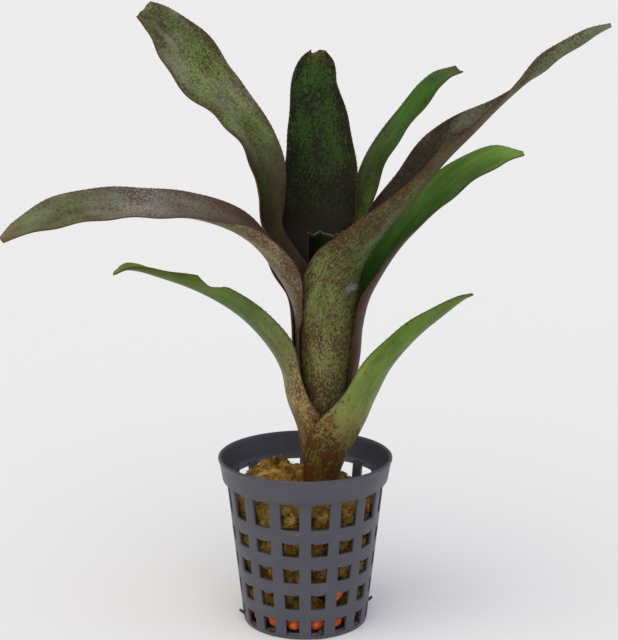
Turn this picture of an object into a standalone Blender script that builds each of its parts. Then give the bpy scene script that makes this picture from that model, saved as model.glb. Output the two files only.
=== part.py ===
"""Potted neoregelia bromeliad: a tank bromeliad with ten leaves, standing in a small net pot.

The pot's foot is at the origin and +Z is up. The viewer of the photo is at -Y, so -X is left.
Sizes in the tables below are millimetres; every object is made in metres.
"""

import math
import random

import bmesh
import bpy
from mathutils import Matrix, Vector, noise

MM = 0.001
GAP = 0.3

# Net pot
POT_HEIGHT = 55.0
RIM_RADIUS = 28.0
BAND_FOOT_RADIUS = 26.45
BAND_FOOT = 47.4
WALL_TOP_RADIUS = 25.3
BASE_RADIUS = 20.05
WALL = 1.0
FLOOR = 1.2
POT_STEPS = 32
COLUMNS = 16
RIB_WIDTH = 3.8
WINDOW_ROWS = [(47.3, 37.8), (33.45, 28.7), (24.5, 19.6), (15.6, 10.4), (6.7, 1.3)]
WINDOW_SAG = 0.4
DRAINS = 8
DRAIN_WIDTH = 2.6
DRAIN_INNER = 7.5
DRAIN_OUTER = 15.5

# Mineral wool
WOOL_FOOT = 9.8
WOOL_SKIRT = 8.4
WOOL_TOP = 43.0
WOOL_LUMP = 1.6
WAD_HEIGHT = 7.2
WAD_PLACE = (-9.0, 7.0)
WAD_SIZE = (9.0, 13.0)
NECK_X = 5.1
NECK_HOLE = 6.2
NECK_HOLE_FOOT = 36.5
NECK_MOUTH = 7.6
ROOT_HOLE = 3.2
# direction, height, half width of the tufts of wool that stand out of a window
TUFTS = [(259, 40.6, 1.9), (303.5, 40.6, 1.7)]

# Expanded clay pebbles: a ring with two places left empty at the back, and loose ones given by
# direction from the pot's axis, distance, height of the centre and radius
RING_PEBBLES = 16
RING_EMPTY = (3, 4)
RING_DISTANCE = 16.1
RING_RADIUS = 2.9
LOOSE_PEBBLES = [(116, 5.9, 5.5, 3.7), (243, 5.9, 5.4, 3.6), (301, 16.6, 14.4, 3.6)]
POCKET_DISTANCE = 17.8
POCKET_RADIUS = 5.2

# Stem and roots
STEM_RADIUS = 2.2
STEM_PATH = [(5.0, 0, 22), (5.0, 0, 36), (5.2, 0, 50), (6.0, 0, 70), (6.4, 0, 79)]
ROOT_RADIUS = 0.62
ROOT_PATHS = [
    [
        (5.3, 0.4, 25), (5.6, 0.6, 12), (6.4, 0.9, 5), (9.0, 1.9, 2.3), (13.0, 5.6, 2.1),
        (16.4, 5.6, 2.0), (20.2, 4.3, 2.8), (22.0, 4.6, 4.6),
    ],
    [
        (4.6, 0.2, 25), (4.2, 0.1, 12), (3.0, -0.1, 5), (0.0, -0.4, 2.3), (-7.0, -2.8, 2.2),
        (-13.0, -5.6, 2.1), (-16.4, -5.6, 2.0), (-20.1, -4.3, 2.7), (-21.4, -4.3, 3.8),
    ],
    [
        (5.0, -0.8, 25), (4.9, -1.2, 12), (4.4, -2.4, 5), (2.8, -6.0, 2.3), (-1.5, -9.3, 2.2),
        (-5.3, -12.8, 2.1), (-7.5, -15.5, 2.0), (-10.6, -17.2, 2.3), (-11.8, -17.7, 2.7),
    ],
    [
        (5.4, -0.5, 25), (5.6, -1.0, 12), (5.6, -2.4, 5), (5.2, -6.5, 2.3), (5.6, -12.6, 2.1),
        (5.6, -16.4, 2.0), (4.4, -20.3, 2.7), (4.3, -22.0, 1.4),
    ],
]

# Leaf sheaths are nested layers of a tube: the higher the layer, the farther out it lies.
LEAF_THICKNESS = 0.65
LAYER_PITCH = 1.1
TUBE_LAYER = 7
# height, radius of layer 7
TUBE = [
    (36, 2.3), (42, 3.5), (49, 4.8), (56, 6.2), (62, 7.6), (67, 8.8), (72, 9.9), (77, 10.9),
    (82, 11.5), (88, 12.0), (95, 12.4), (108, 13.0), (120, 14.0),
]
# height, distance of the tube's axis from the pot's axis
LEAN = [(36, 5.0), (50, 5.2), (70, 6.0), (95, 7.3), (120, 7.3)]

# A sheath station is height, facing, wrap: it lies on its layer of the tube.
# A blade station is x, y, height, facing, width, roll, wrap at the midrib.
# Facing is the direction in degrees that the leaf's back looks to, seen from above, from +X.
# Wrap is the angle in degrees of the arc that the leaf's cross section bends through.
LEAVES = {
    "leaf_low_right": {
        "layer": 8,
        "rows": 24,
        "across": 8,
        "sheath": [(39, 316, 220), (45, 312, 222), (51, 309, 204)],
        "blade": [
            (11.9, -6.9, 58, 311, 27, 0, 180),
            (16.0, -9.8, 67, 314, 24.8, 0, 146),
            (20, -13, 77, 317, 18.6, 0, 124),
            (25, -17, 88.1, 318, 17.6, 0, 105),
            (32.9, -21, 98.6, 318, 16, 0, 85),
            (41, -24, 106.4, 318, 12.8, 0, 70),
            (47, -26, 111.5, 318, 6, 0, 60),
            (50, -26.5, 113, 318, 2, 0, 60),
        ],
        "wave": 0.25,
    },
    "leaf_low_left": {
        "layer": 7,
        "rows": 28,
        "across": 8,
        "sheath": [(42, 195, 220), (50, 195, 220), (58, 195, 195), (65, 192, 175)],
        "blade": [
            (-5.4, -2.6, 74, 190, 23.2, 0, 128),
            (-7.2, -4.0, 84, 191, 17.5, 3, 114),
            (-12, -7.5, 93.9, 195, 19.8, 10, 120),
            (-20, -10, 103.1, 195, 17.4, 15, 110),
            (-31, -11.5, 110.4, 195, 15.4, 18, 100),
            (-44, -12.5, 115.5, 195, 11.8, 10, 80),
            (-54, -13, 118.2, 195, 8.2, 0, 60),
            (-58.4, -13, 116.6, 195, 2.6, 0, 40),
        ],
        "wave": 0.3,
    },
    "leaf_stub": {
        "layer": 6,
        "rows": 16,
        "across": 6,
        "sheath": [(47, 160, 200), (60, 160, 180), (75, 155, 125), (88, 153, 84), (98, 160, 64)],
        "blade": [
            (-5.1, 6.4, 106, 163, 8.0, 0, 60),
            (-9.4, 8.3, 112.6, 162, 10.6, 0, 70),
            (-11.7, 11.2, 118.5, 158, 9.5, 0, 60),
        ],
        "wave": 0.0,
    },
    "leaf_long_left": {
        "layer": 5,
        "rows": 32,
        "across": 6,
        "sheath": [(52, 154, 140), (62, 154, 140), (75, 152, 122), (88, 161, 92), (96, 170, 72)],
        "blade": [
            (-3.8, -2.3, 105, 190, 12.2, 0, 64),
            (-8.2, -5.6, 115, 204, 19, 0, 95),
            (-17, -7.5, 125.8, 200, 21.6, -10, 122),
            (-28, -9, 132.5, 194, 19, -17, 98),
            (-40, -11, 136.1, 194, 15.8, -26, 66),
            (-61, -14, 137.4, 194, 14.8, -33, 45),
            (-75, -18, 135.2, 194, 13.8, -32, 45),
            (-85, -21.5, 131.4, 194, 8.8, -25, 50),
            (-90.2, -23.5, 128.6, 194, 3.6, -20, 40),
        ],
        "wave": 0.3,
    },
    "leaf_green_right": {
        "layer": 5.4,
        "rows": 24,
        "across": 6,
        "sheath": [(52, 15, 76), (62, 15, 84), (75, 12, 104), (88, 3, 95)],
        "blade": [
            (18, -0.5, 98, 1, 16.4, 0, 88),
            (20.5, -0.5, 108, 1, 19.3, 3, 84),
            (29, 2, 123, 10, 18, 10, 100),
            (39, 4, 134.5, 12, 16.5, 18, 80),
            (49, 5, 144, 12, 14, 24, 55),
            (60, 6, 150, 12, 10.5, 26, 45),
            (68.3, 7, 151, 12, 2.2, 25, 40),
        ],
        "wave": 0.3,
    },
    "leaf_long_right": {
        "layer": 4,
        "rows": 36,
        "across": 10,
        "sheath": [
            (58, 335, 210), (70, 325, 230), (85, 300, 215), (93, 286, 185), (101, 284, 176),
            (108, 284, 165),
        ],
        "blade": [
            (16, -8.2, 117, 308, 29, 8, 150),
            (23.6, -8.2, 127.4, 325, 29.8, 20, 141),
            (34.3, -6, 140.2, 335, 25.2, 27, 137),
            (43.6, -5, 151.9, 335, 26.2, 30, 118),
            (54.6, -4, 162.6, 335, 18.5, 24, 88),
            (66, -3, 173, 335, 8, 0, 60),
            (73, -3, 180, 335, 7, -35, 50),
            (80.2, -3.5, 185, 335, 5, -45, 50),
            (86, -4, 188.5, 335, 4, -45, 50),
            (92, -4, 191, 335, 1.5, -40, 40),
        ],
        "wave": 0.3,
    },
    "leaf_back_right": {
        "layer": 2.85,
        "rows": 24,
        "across": 6,
        "sheath": [(62, 60, 150), (75, 60, 135), (88, 68, 86)],
        "blade": [
            (10.0, 8.1, 96, 70, 8.8, 0, 58),
            (11.8, 10.8, 104, 68, 8.6, 0, 55),
            (15, 15, 113, 60, 10, 0, 60),
            (17.6, 20, 125, 56, 11, 0, 75),
            (19.1, 23, 134, 55, 10, 0, 85),
            (24.7, 29, 147.9, 55, 9.6, 0, 80),
            (35.8, 37, 162.2, 55, 9.2, 0, 70),
            (44.5, 42, 171.5, 55, 8.5, 0, 60),
            (51.2, 44, 174.2, 55, 6.4, 0, 60),
        ],
        "wave": 0.3,
    },
    "leaf_back_centre": {
        "layer": 1.9,
        "rows": 24,
        "across": 6,
        "sheath": [(69, 96, 140), (80, 98, 125), (88, 98, 105), (94, 98, 88)],
        "blade": [
            (6.6, 8.6, 103, 94, 14.5, 0, 90),
            (5.5, 14, 112, 88, 19, 0, 80),
            (4.5, 18.5, 120, 87, 23, 0, 78),
            (3.8, 22, 127, 88, 26.5, 0, 76),
            (4.9, 26, 140, 90, 25.5, 0, 70),
            (4.3, 31, 157, 92, 20.6, 0, 55),
            (2.9, 35, 170, 92, 15.4, 0, 45),
            (4, 37.5, 178, 92, 11, 0, 40),
            (4.6, 38.5, 182, 92, 3, 0, 30),
        ],
        "wave": 0.35,
    },
    "leaf_upper_left": {
        "layer": 1,
        "rows": 32,
        "across": 6,
        "sheath": [(76, 147, 150), (84, 147, 145), (93, 147, 125)],
        "blade": [
            (1.4, 3.9, 103, 150, 15.5, 0, 120),
            (-2.5, 5.6, 110, 153, 15, 0, 98),
            (-7.3, 8.2, 118, 157, 14.5, 0, 90),
            (-12.4, 11.2, 126.5, 158, 14, 0, 85),
            (-12.7, 15.4, 136, 145, 15, 0, 80),
            (-14.0, 21, 148, 128, 15, 0, 70),
            (-21.2, 28, 160, 118, 16.5, 0, 45),
            (-32.5, 34, 171.5, 116, 21, 0, 30),
            (-40.8, 39, 183, 116, 20, 0, 30),
            (-48.6, 42, 190.7, 116, 13.6, 0, 30),
            (-53.8, 43, 194.4, 116, 8.5, 0, 30),
        ],
        "wave": 0.5,
    },
    "leaf_heart": {
        "layer": 0,
        "rows": 10,
        "across": 8,
        "sheath": [(82, 80, 190), (92, 80, 185), (104, 80, 185)],
        "blade": [
            (7.5, 5.6, 116, 80, 17, 0, 170),
            (7.5, 6.8, 127, 80, 16, 0, 150),
        ],
        "wave": 0.0,
    },
}
WAVE_LENGTH = 17.0

UP = Vector((0, 0, 1))


def clear_scene():
    for item in list(bpy.data.objects):
        bpy.data.objects.remove(item, do_unlink=True)


def make_collection(name):
    collection = bpy.data.collections.new(name)
    bpy.context.scene.collection.children.link(collection)
    return collection


def make_material(name, colour, roughness):
    material = bpy.data.materials.new(name)
    material.use_nodes = True
    shader = material.node_tree.nodes["Principled BSDF"]
    shader.inputs["Base Color"].default_value = (*colour, 1.0)
    shader.inputs["Roughness"].default_value = roughness
    return material


def mesh_object(name, mesh, collection, material=None):
    item = bpy.data.objects.new(name, mesh)
    collection.objects.link(item)
    if material:
        mesh.materials.clear()
        mesh.materials.append(material)
    return item


def mesh_from_bmesh(name, shape):
    shape.normal_update()
    bmesh.ops.recalc_face_normals(shape, faces=shape.faces)
    mesh = bpy.data.meshes.new(name)
    shape.to_mesh(mesh)
    shape.free()
    return mesh


def smooth(mesh):
    for face in mesh.polygons:
        face.use_smooth = True


def final_mesh(item, name):
    """The mesh of an object with its modifiers applied, in world space."""
    bpy.context.view_layer.update()
    graph = bpy.context.evaluated_depsgraph_get()
    mesh = bpy.data.meshes.new_from_object(item.evaluated_get(graph))
    mesh.transform(item.matrix_world)
    mesh.name = name
    return mesh


def lathe(name, profile, steps, collection):
    """A closed profile of (radius, height) turned about the Z axis."""
    mesh = bpy.data.meshes.new(name)
    points = [(r * MM, 0.0, z * MM) for r, z in profile]
    on_axis = profile[0][0] == 0 and profile[-1][0] == 0
    last = len(points) - 1 if on_axis else len(points)
    edges = [(i, (i + 1) % len(points)) for i in range(last)]
    mesh.from_pydata(points, edges, [])
    item = mesh_object(name, mesh, collection)
    screw = item.modifiers.new("turn", "SCREW")
    screw.axis = "Z"
    screw.angle = math.tau
    screw.steps = steps
    screw.render_steps = steps
    screw.use_merge_vertices = True
    screw.merge_threshold = 0.00001
    return item


def cut(item, cutter, name):
    """Takes one object's volume out of another."""
    boolean = item.modifiers.new(name, "BOOLEAN")
    boolean.operation = "DIFFERENCE"
    boolean.solver = "EXACT"
    boolean.object = cutter


def join(item, other, name):
    """Adds one object's volume to another."""
    boolean = item.modifiers.new(name, "BOOLEAN")
    boolean.operation = "UNION"
    boolean.solver = "EXACT"
    boolean.object = other


def hide_cutter(item):
    item.hide_render = True
    item.display_type = "WIRE"
    return item


def bake(item, material):
    """Replaces an object's mesh by its final mesh and takes its modifiers off."""
    mesh = final_mesh(item, item.name)
    item.modifiers.clear()
    item.data = mesh
    mesh.materials.clear()
    mesh.materials.append(material)
    return item


# Net pot

def wall_radius(z):
    """Outer radius of the pot's wall at a height below the band."""
    return BASE_RADIUS + (WALL_TOP_RADIUS - BASE_RADIUS) * z / BAND_FOOT


def add_window(shape, angle, top, foot):
    """A wedge that cuts one window; its upper edge sags in the middle."""
    radial = Vector((math.cos(angle), math.sin(angle), 0))
    along = Vector((-math.sin(angle), math.cos(angle), 0))
    outline = []
    for z in (top, foot):
        half = math.pi * wall_radius(z) / COLUMNS - RIB_WIDTH / 2
        outline.append((half, z))
    sag = WINDOW_SAG if top < 40 else 0.0
    section = [(-outline[0][0], top), (0.0, top - sag), (outline[0][0], top)]
    section += [(outline[1][0], foot), (-outline[1][0], foot)]
    if sag == 0.0:
        del section[1]
    rings = []
    for distance in (wall_radius(foot) - 3.0, wall_radius(top) + 4.0):
        ring = []
        for across, z in section:
            point = radial * distance + along * across + UP * z
            ring.append(shape.verts.new(point * MM))
        rings.append(ring)
    inner, outer = rings
    count = len(section)
    shape.faces.new(inner)
    shape.faces.new(list(reversed(outer)))
    for i in range(count):
        j = (i + 1) % count
        shape.faces.new((inner[j], inner[i], outer[i], outer[j]))


def add_drain(shape, angle):
    """A slot through the floor, along a radius."""
    middle = (DRAIN_INNER + DRAIN_OUTER) / 2
    size = (DRAIN_OUTER - DRAIN_INNER, DRAIN_WIDTH, FLOOR * 4)
    place = Matrix.Rotation(angle, 4, "Z") @ Matrix.Translation((middle * MM, 0, 0))
    place = place @ Matrix.Diagonal((*[s * MM for s in size], 1))
    bmesh.ops.create_cube(shape, size=1.0, matrix=place)


def make_pot(parts, cutters, material):
    profile = [
        (0.0, FLOOR),
        (wall_radius(FLOOR) - WALL, FLOOR),
        (wall_radius(46.0) - WALL, 46.0),
        (25.45, 47.8),
        (26.95, 54.7),
        (27.2, POT_HEIGHT),
        (27.75, POT_HEIGHT),
        (RIM_RADIUS, 54.75),
        (RIM_RADIUS, 53.9),
        (27.7, 53.6),
        (BAND_FOOT_RADIUS, BAND_FOOT),
        (25.5, BAND_FOOT),
        (25.45, 46.6),
        (wall_radius(46.2), 46.2),
        (BASE_RADIUS, 0.0),
        (0.0, 0.0),
    ]
    pot = lathe("net_pot", profile, POT_STEPS, parts)
    windows = bmesh.new()
    for top, foot in WINDOW_ROWS:
        for column in range(COLUMNS):
            angle = math.tau * (column + 0.5) / COLUMNS
            add_window(windows, angle, top, foot)
    for drain in range(DRAINS):
        add_drain(windows, math.tau * drain / DRAINS)
    cutter = mesh_object("window_cutter", mesh_from_bmesh("window_cutter", windows), cutters)
    hide_cutter(cutter)
    cut(pot, cutter, "windows")
    return bake(pot, material)


# Mineral wool

def wool_radius(z):
    return wall_radius(z) - WALL - GAP - 0.1


def wool_top(x, y):
    """Height of the torn top: a tall wad at the left, low at the right, lumpy everywhere."""
    lump = noise.fractal(Vector((x / 9.0, y / 9.0, 4.2)), 0.9, 2.1, 3)
    away = ((x - WAD_PLACE[0]) / WAD_SIZE[0]) ** 2 + ((y - WAD_PLACE[1]) / WAD_SIZE[1]) ** 2
    slope = -0.05 * x if x > 0 else 0.0
    return WOOL_TOP + WAD_HEIGHT * math.exp(-away) + slope + WOOL_LUMP * lump


def make_wool(parts, cutters, material):
    heights = [36.5, 30, 22, WOOL_SKIRT]
    profile = [(0.0, WOOL_TOP)]
    profile += [(r, WOOL_TOP) for r in (8.0, 12.0, 16.0, 20.0)]
    profile += [(wool_radius(40.0), WOOL_TOP)]
    profile += [(wool_radius(z), z) for z in heights]
    profile += [(18.6, WOOL_SKIRT), (17.9, WOOL_FOOT), (0.0, WOOL_FOOT)]
    raw = lathe("mineral_wool", profile, 32, parts)
    mesh = final_mesh(raw, "mineral_wool")
    raw.modifiers.clear()
    raw.data = mesh
    for vertex in mesh.vertices:
        x, y, z = vertex.co / MM
        if z > WOOL_TOP - 0.1:
            edge = math.hypot(x, y) > 22
            z = wool_top(x, y) - (0.8 if edge else 0.0)
        elif z > WOOL_FOOT + 0.1:
            pull = 1.0 - 0.02 * abs(noise.noise(Vector((x, y, z)) / 5.0))
            x *= pull
            y *= pull
        vertex.co = Vector((x, y, z)) * MM
    for i, (angle, height, size) in enumerate(TUFTS):
        tuft = bmesh.new()
        bmesh.ops.create_icosphere(tuft, subdivisions=2, radius=1.0)
        spot = direction(angle) * (wall_radius(height) - 1.3) + UP * height
        place = Matrix.Translation(spot * MM) @ Matrix.Rotation(math.radians(angle), 4, "Z")
        place = place @ Matrix.Diagonal((2.6 * MM, size * MM, size * 0.8 * MM, 1))
        tuft.transform(place)
        lump = mesh_object(f"wool_tuft_{i}", mesh_from_bmesh("wool_tuft", tuft), cutters)
        hide_cutter(lump)
        join(raw, lump, f"tuft_{i}")
    hole = [
        (0.0, 60.0),
        (NECK_MOUTH, 60.0),
        (NECK_MOUTH, 51.0),
        (NECK_HOLE, 43.5),
        (NECK_HOLE, NECK_HOLE_FOOT),
        (ROOT_HOLE, NECK_HOLE_FOOT - 1.0),
        (ROOT_HOLE, 5.0),
        (0.0, 5.0),
    ]
    hole_cutter = lathe("neck_hole_cutter", hole, 16, cutters)
    hole_cutter.location.x = NECK_X * MM
    hide_cutter(hole_cutter)
    cut(raw, hole_cutter, "neck hole")
    angle, _, height, _ = LOOSE_PEBBLES[-1]
    pocket = bmesh.new()
    bmesh.ops.create_icosphere(pocket, subdivisions=2, radius=POCKET_RADIUS * MM)
    pocket_cutter = mesh_object("pocket_cutter", mesh_from_bmesh("pocket_cutter", pocket), cutters)
    pocket_cutter.location = (direction(angle) * POCKET_DISTANCE + UP * height) * MM
    hide_cutter(pocket_cutter)
    cut(raw, pocket_cutter, "pebble pocket")
    return bake(raw, material)


# Clay pebbles

def make_pebble(name, angle, distance, height, radius, seed, parts, material):
    """A rounded lump, a little flattened, with a dented skin."""
    rng = random.Random(seed)
    shape = bmesh.new()
    bmesh.ops.create_icosphere(shape, subdivisions=2, radius=1.0)
    offset = Vector((seed * 3.7, seed * 1.9, seed * 5.3))
    for vertex in shape.verts:
        bump = noise.noise(vertex.co * 1.3 + offset)
        vertex.co *= 1.0 + 0.08 * bump
    stretch = [rng.uniform(0.93, 1.03) for _ in range(3)]
    turn = Matrix.Rotation(rng.uniform(0, math.tau), 4, "Z")
    place = Matrix.Translation((direction(angle) * distance + UP * height) * MM) @ turn
    place = place @ Matrix.Diagonal((*[radius * MM * s for s in stretch], 1))
    shape.transform(place)
    mesh = mesh_from_bmesh(name, shape)
    smooth(mesh)
    return mesh_object(name, mesh, parts, material)


def make_pebbles(parts, material):
    places = []
    for i in range(RING_PEBBLES):
        if i in RING_EMPTY:
            continue
        angle = 360.0 * (i + 0.5) / RING_PEBBLES
        places.append((angle, RING_DISTANCE, FLOOR + GAP + RING_RADIUS + 0.2, RING_RADIUS))
    places += LOOSE_PEBBLES
    for i, spot in enumerate(places):
        make_pebble(f"clay_pebble_{i + 1:02d}", *spot, i + 1, parts, material)


# Stem and roots

def tube_mesh(name, path, radii, sides):
    """A bent round bar through the points of a path, with its ends closed."""
    curve = bpy.data.curves.new(name, "CURVE")
    curve.dimensions = "3D"
    curve.bevel_depth = MM
    curve.bevel_resolution = sides // 2 - 2
    curve.resolution_u = 2
    curve.use_fill_caps = True
    spline = curve.splines.new("NURBS")
    spline.points.add(len(path) - 1)
    spline.use_endpoint_u = True
    spline.order_u = 3
    for point, place, radius in zip(spline.points, path, radii):
        point.co = (*[c * MM for c in place], 1.0)
        point.radius = radius
    carrier = bpy.data.objects.new(name, curve)
    bpy.context.scene.collection.objects.link(carrier)
    mesh = final_mesh(carrier, name)
    bpy.data.objects.remove(carrier, do_unlink=True)
    shape = bmesh.new()
    shape.from_mesh(mesh)
    bmesh.ops.remove_doubles(shape, verts=shape.verts, dist=0.00001)
    return mesh_from_bmesh(name, shape)


def make_stem(parts, cutters, material):
    radii = [STEM_RADIUS] * (len(STEM_PATH) - 1) + [STEM_RADIUS * 0.75]
    stem = mesh_object("stem_with_roots", tube_mesh("stem", STEM_PATH, radii, 12), parts)
    for i, path in enumerate(ROOT_PATHS):
        swell = [1.6, 1.2] + [1.0] * (len(path) - 3) + [0.6]
        mesh = tube_mesh(f"root_{i}", path, [ROOT_RADIUS * s for s in swell], 6)
        root = mesh_object(f"root_{i}", mesh, cutters)
        hide_cutter(root)
        join(stem, root, f"root_{i}")
    bake(stem, material)
    smooth(stem.data)
    return stem


# Leaves

def from_table(table, z):
    """Value at a height, on straight lines between the rows of a table."""
    if z <= table[0][0]:
        return table[0][1]
    for (z0, v0), (z1, v1) in zip(table, table[1:]):
        if z <= z1:
            return v0 + (v1 - v0) * (z - z0) / (z1 - z0)
    return table[-1][1]


def direction(angle):
    a = math.radians(angle)
    return Vector((math.cos(a), math.sin(a), 0))


def layer_radius(layer, z):
    return max(from_table(TUBE, z) - LAYER_PITCH * (TUBE_LAYER - layer), STEM_RADIUS + 0.9)


def leaf_stations(leaf):
    """Rows of x, y, z, width, roll, wrap, slant and facing; slant 0 is a level cross section."""
    rows = []
    for z, facing, wrap in leaf["sheath"]:
        r = layer_radius(leaf["layer"], z)
        place = Vector((from_table(LEAN, z), 0, z)) + direction(facing) * r
        rows.append((*place, r * math.radians(wrap), 0, wrap, 0, facing))
    for x, y, z, facing, width, roll, wrap in leaf["blade"]:
        rows.append((x, y, z, width, roll, wrap, 1, facing))
    return rows


def through(rows, knots, t):
    """A smooth curve through all columns of the rows, at arc length t."""
    count = len(rows)
    k = 0
    while k < count - 2 and t > knots[k + 1]:
        k += 1
    step = knots[k + 1] - knots[k]
    s = (t - knots[k]) / step

    def slope(i, c):
        a = max(i - 1, 0)
        b = min(i + 1, count - 1)
        return (rows[b][c] - rows[a][c]) / (knots[b] - knots[a])

    values = []
    for c in range(len(rows[0])):
        value = (2 * s**3 - 3 * s**2 + 1) * rows[k][c] + (3 * s**2 - 2 * s**3) * rows[k + 1][c]
        value += (s**3 - 2 * s**2 + s) * step * slope(k, c) + (s**3 - s**2) * step * slope(k + 1, c)
        values.append(value)
    return values


def leaf_sections(leaf):
    """Points of the leaf's two faces: one row of (upper, lower) pairs for each cross section."""
    rows = leaf_stations(leaf)
    knots = [0.0]
    for a, b in zip(rows, rows[1:]):
        knots.append(knots[-1] + (Vector(b[:3]) - Vector(a[:3])).length)
    count = leaf["rows"]
    times = [knots[-1] * i / (count - 1) for i in range(count)]
    samples = [through(rows, knots, t) for t in times]
    sections = []
    for i, values in enumerate(samples):
        before = Vector(samples[max(i - 1, 0)][:3])
        after = Vector(samples[min(i + 1, count - 1)][:3])
        place = Vector(values[:3])
        width, roll, wrap, slant, facing = values[3:]
        slant = min(max(slant, 0.0), 1.0)
        width = max(width, 0.8)
        bend = math.radians(max(wrap, 4.0))
        ahead = (UP * (1 - slant) + (after - before).normalized() * slant).normalized()
        side = UP.cross(direction(facing))
        side = (side - ahead * side.dot(ahead)).normalized()
        inner = ahead.cross(side)
        turn = Matrix.Rotation(math.radians(roll), 3, ahead)
        side = turn @ side
        inner = turn @ inner
        curl = width / bend
        flutter = leaf["wave"] * slant * min(1.0, (knots[-1] - times[i]) / 12.0)
        section = []
        for j in range(leaf["across"] + 1):
            u = 2.0 * j / leaf["across"] - 1.0
            turned = u * bend / 2
            point = place + side * curl * math.sin(turned) + inner * curl * (1 - math.cos(turned))
            normal = inner * math.cos(turned) - side * math.sin(turned)
            phase = math.tau * times[i] / WAVE_LENGTH + (1.9 if u > 0 else 0.0)
            point += normal * flutter * abs(u) ** 3 * math.sin(phase)
            half = normal * (LEAF_THICKNESS / 2)
            section.append(((point + half) * MM, (point - half) * MM))
        sections.append(section)
    return sections


def make_leaf(name, leaf, parts, material):
    """A loft through unlike cross sections; both faces are split into triangles alike."""
    sections = leaf_sections(leaf)
    shape = bmesh.new()
    upper = [[shape.verts.new(pair[0]) for pair in section] for section in sections]
    lower = [[shape.verts.new(pair[1]) for pair in section] for section in sections]
    across = leaf["across"]
    rows = len(sections)
    for i in range(rows - 1):
        for j in range(across):
            for sheet in (upper, lower):
                a, b = sheet[i][j], sheet[i][j + 1]
                c, d = sheet[i + 1][j + 1], sheet[i + 1][j]
                halves = ((a, b, c), (a, c, d)) if j < across // 2 else ((a, b, d), (b, c, d))
                for half in halves:
                    shape.faces.new(half)
        for j in (0, across):
            shape.faces.new((upper[i][j], upper[i + 1][j], lower[i + 1][j], lower[i][j]))
    for i in (0, rows - 1):
        for j in range(across):
            shape.faces.new((upper[i][j], upper[i][j + 1], lower[i][j + 1], lower[i][j]))
    mesh = mesh_from_bmesh(name, shape)
    smooth(mesh)
    return mesh_object(name, mesh, parts, material)


def main():
    clear_scene()
    parts = make_collection("potted_neoregelia_bromeliad")
    cutters = make_collection("cutters")
    pot_plastic = make_material("grey_moulded_plastic", (0.1, 0.1, 0.12), 0.5)
    wool_fibre = make_material("golden_mineral_wool", (0.4, 0.26, 0.07), 0.95)
    clay = make_material("fired_orange_clay", (0.5, 0.13, 0.04), 0.9)
    root_bark = make_material("brown_root_bark", (0.12, 0.06, 0.03), 0.85)
    leaf_skin = make_material("green_leaf_skin", (0.09, 0.16, 0.04), 0.5)
    make_pot(parts, cutters, pot_plastic)
    make_wool(parts, cutters, wool_fibre)
    make_pebbles(parts, clay)
    make_stem(parts, cutters, root_bark)
    for name, leaf in LEAVES.items():
        make_leaf(name, leaf, parts, leaf_skin)


main()
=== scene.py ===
"""Young neoregelia bromeliad in a small net pot: the looks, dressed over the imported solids.

The pot's foot is at the origin, +Z is up and the viewer is at -Y. Tables and sizes are in
millimetres unless a line says otherwise; meshes are made in metres.
"""

import math
import random

import bmesh
import bpy
from mathutils import Matrix, Vector, noise


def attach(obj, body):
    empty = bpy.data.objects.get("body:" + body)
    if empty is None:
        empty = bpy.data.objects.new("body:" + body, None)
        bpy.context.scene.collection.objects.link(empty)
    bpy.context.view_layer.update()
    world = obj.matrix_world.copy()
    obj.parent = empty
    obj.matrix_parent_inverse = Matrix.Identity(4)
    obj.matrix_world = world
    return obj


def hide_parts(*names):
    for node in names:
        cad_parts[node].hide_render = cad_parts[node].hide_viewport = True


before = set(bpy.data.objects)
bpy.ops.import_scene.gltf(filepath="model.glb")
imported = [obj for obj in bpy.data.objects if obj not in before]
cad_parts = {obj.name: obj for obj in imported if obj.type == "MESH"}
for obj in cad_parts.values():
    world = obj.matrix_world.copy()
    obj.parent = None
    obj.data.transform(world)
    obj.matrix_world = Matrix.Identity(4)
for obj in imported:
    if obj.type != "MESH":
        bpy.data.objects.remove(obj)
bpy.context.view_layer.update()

MM = 0.001
UP = Vector((0, 0, 1))

# Camera, matched to the photograph's frame of 618 x 640; its place is in metres
CAMERA_PLACE = (0.0012, -0.5, 0.2109)
CAMERA_PITCH = 12.58
CAMERA_LENS = 91.4

# Net pot
POT_HEIGHT = 55.0
RIM_RADIUS = 28.0
BAND_FOOT_RADIUS = 26.45
BAND_FOOT = 47.4
WALL_TOP_RADIUS = 25.3
BASE_RADIUS = 20.05
WALL = 1.0
FLOOR = 1.2
COLUMNS = 16
RIB_WIDTH = 3.8
WINDOW_ROWS = [(47.3, 37.8), (33.45, 28.7), (24.5, 19.6), (15.6, 10.4), (6.7, 1.3)]
WINDOW_SAG = 0.45
WALL_FOOT = 0.6
DRAINS = 8
DRAIN_HALF_WIDTH = 1.3
DRAIN_RADII = [7.5, 11.5, 15.5]
EDGE_BEVEL = 0.2
LATHE_STEPS = 128

# Mineral wool
WOOL_FOOT = 9.8
WOOL_FOOT_RADIUS = 17.9
WOOL_SKIRT = 8.4
WOOL_TOP = 43.0
WOOL_LUMP = 1.6
WOOL_GAP = 0.45
WOOL_AROUND = 190
WOOL_ACROSS = 34
WAD_HEIGHT = 7.2
WAD_PLACE = (-9.0, 7.0)
WAD_SIZE = (9.0, 13.0)
NECK_X = 5.1
NECK_HOLE = 6.2
NECK_HOLE_FOOT = 36.5
ROOT_HOLE = 3.2
# direction, height, half width of the tufts of wool that stand out of a window
TUFTS = [(259, 40.6, 1.9), (303.5, 40.6, 1.7)]
TUFT_REACH = 2.6
# fibres to a square metre
FIBRE_DENSITY = 430000.0
FIBRE_LENGTH = 3.6
FIBRE_RADIUS = 0.1
FIBRE_LIFT = 0.3
FIBRE_SEED = 11

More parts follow.
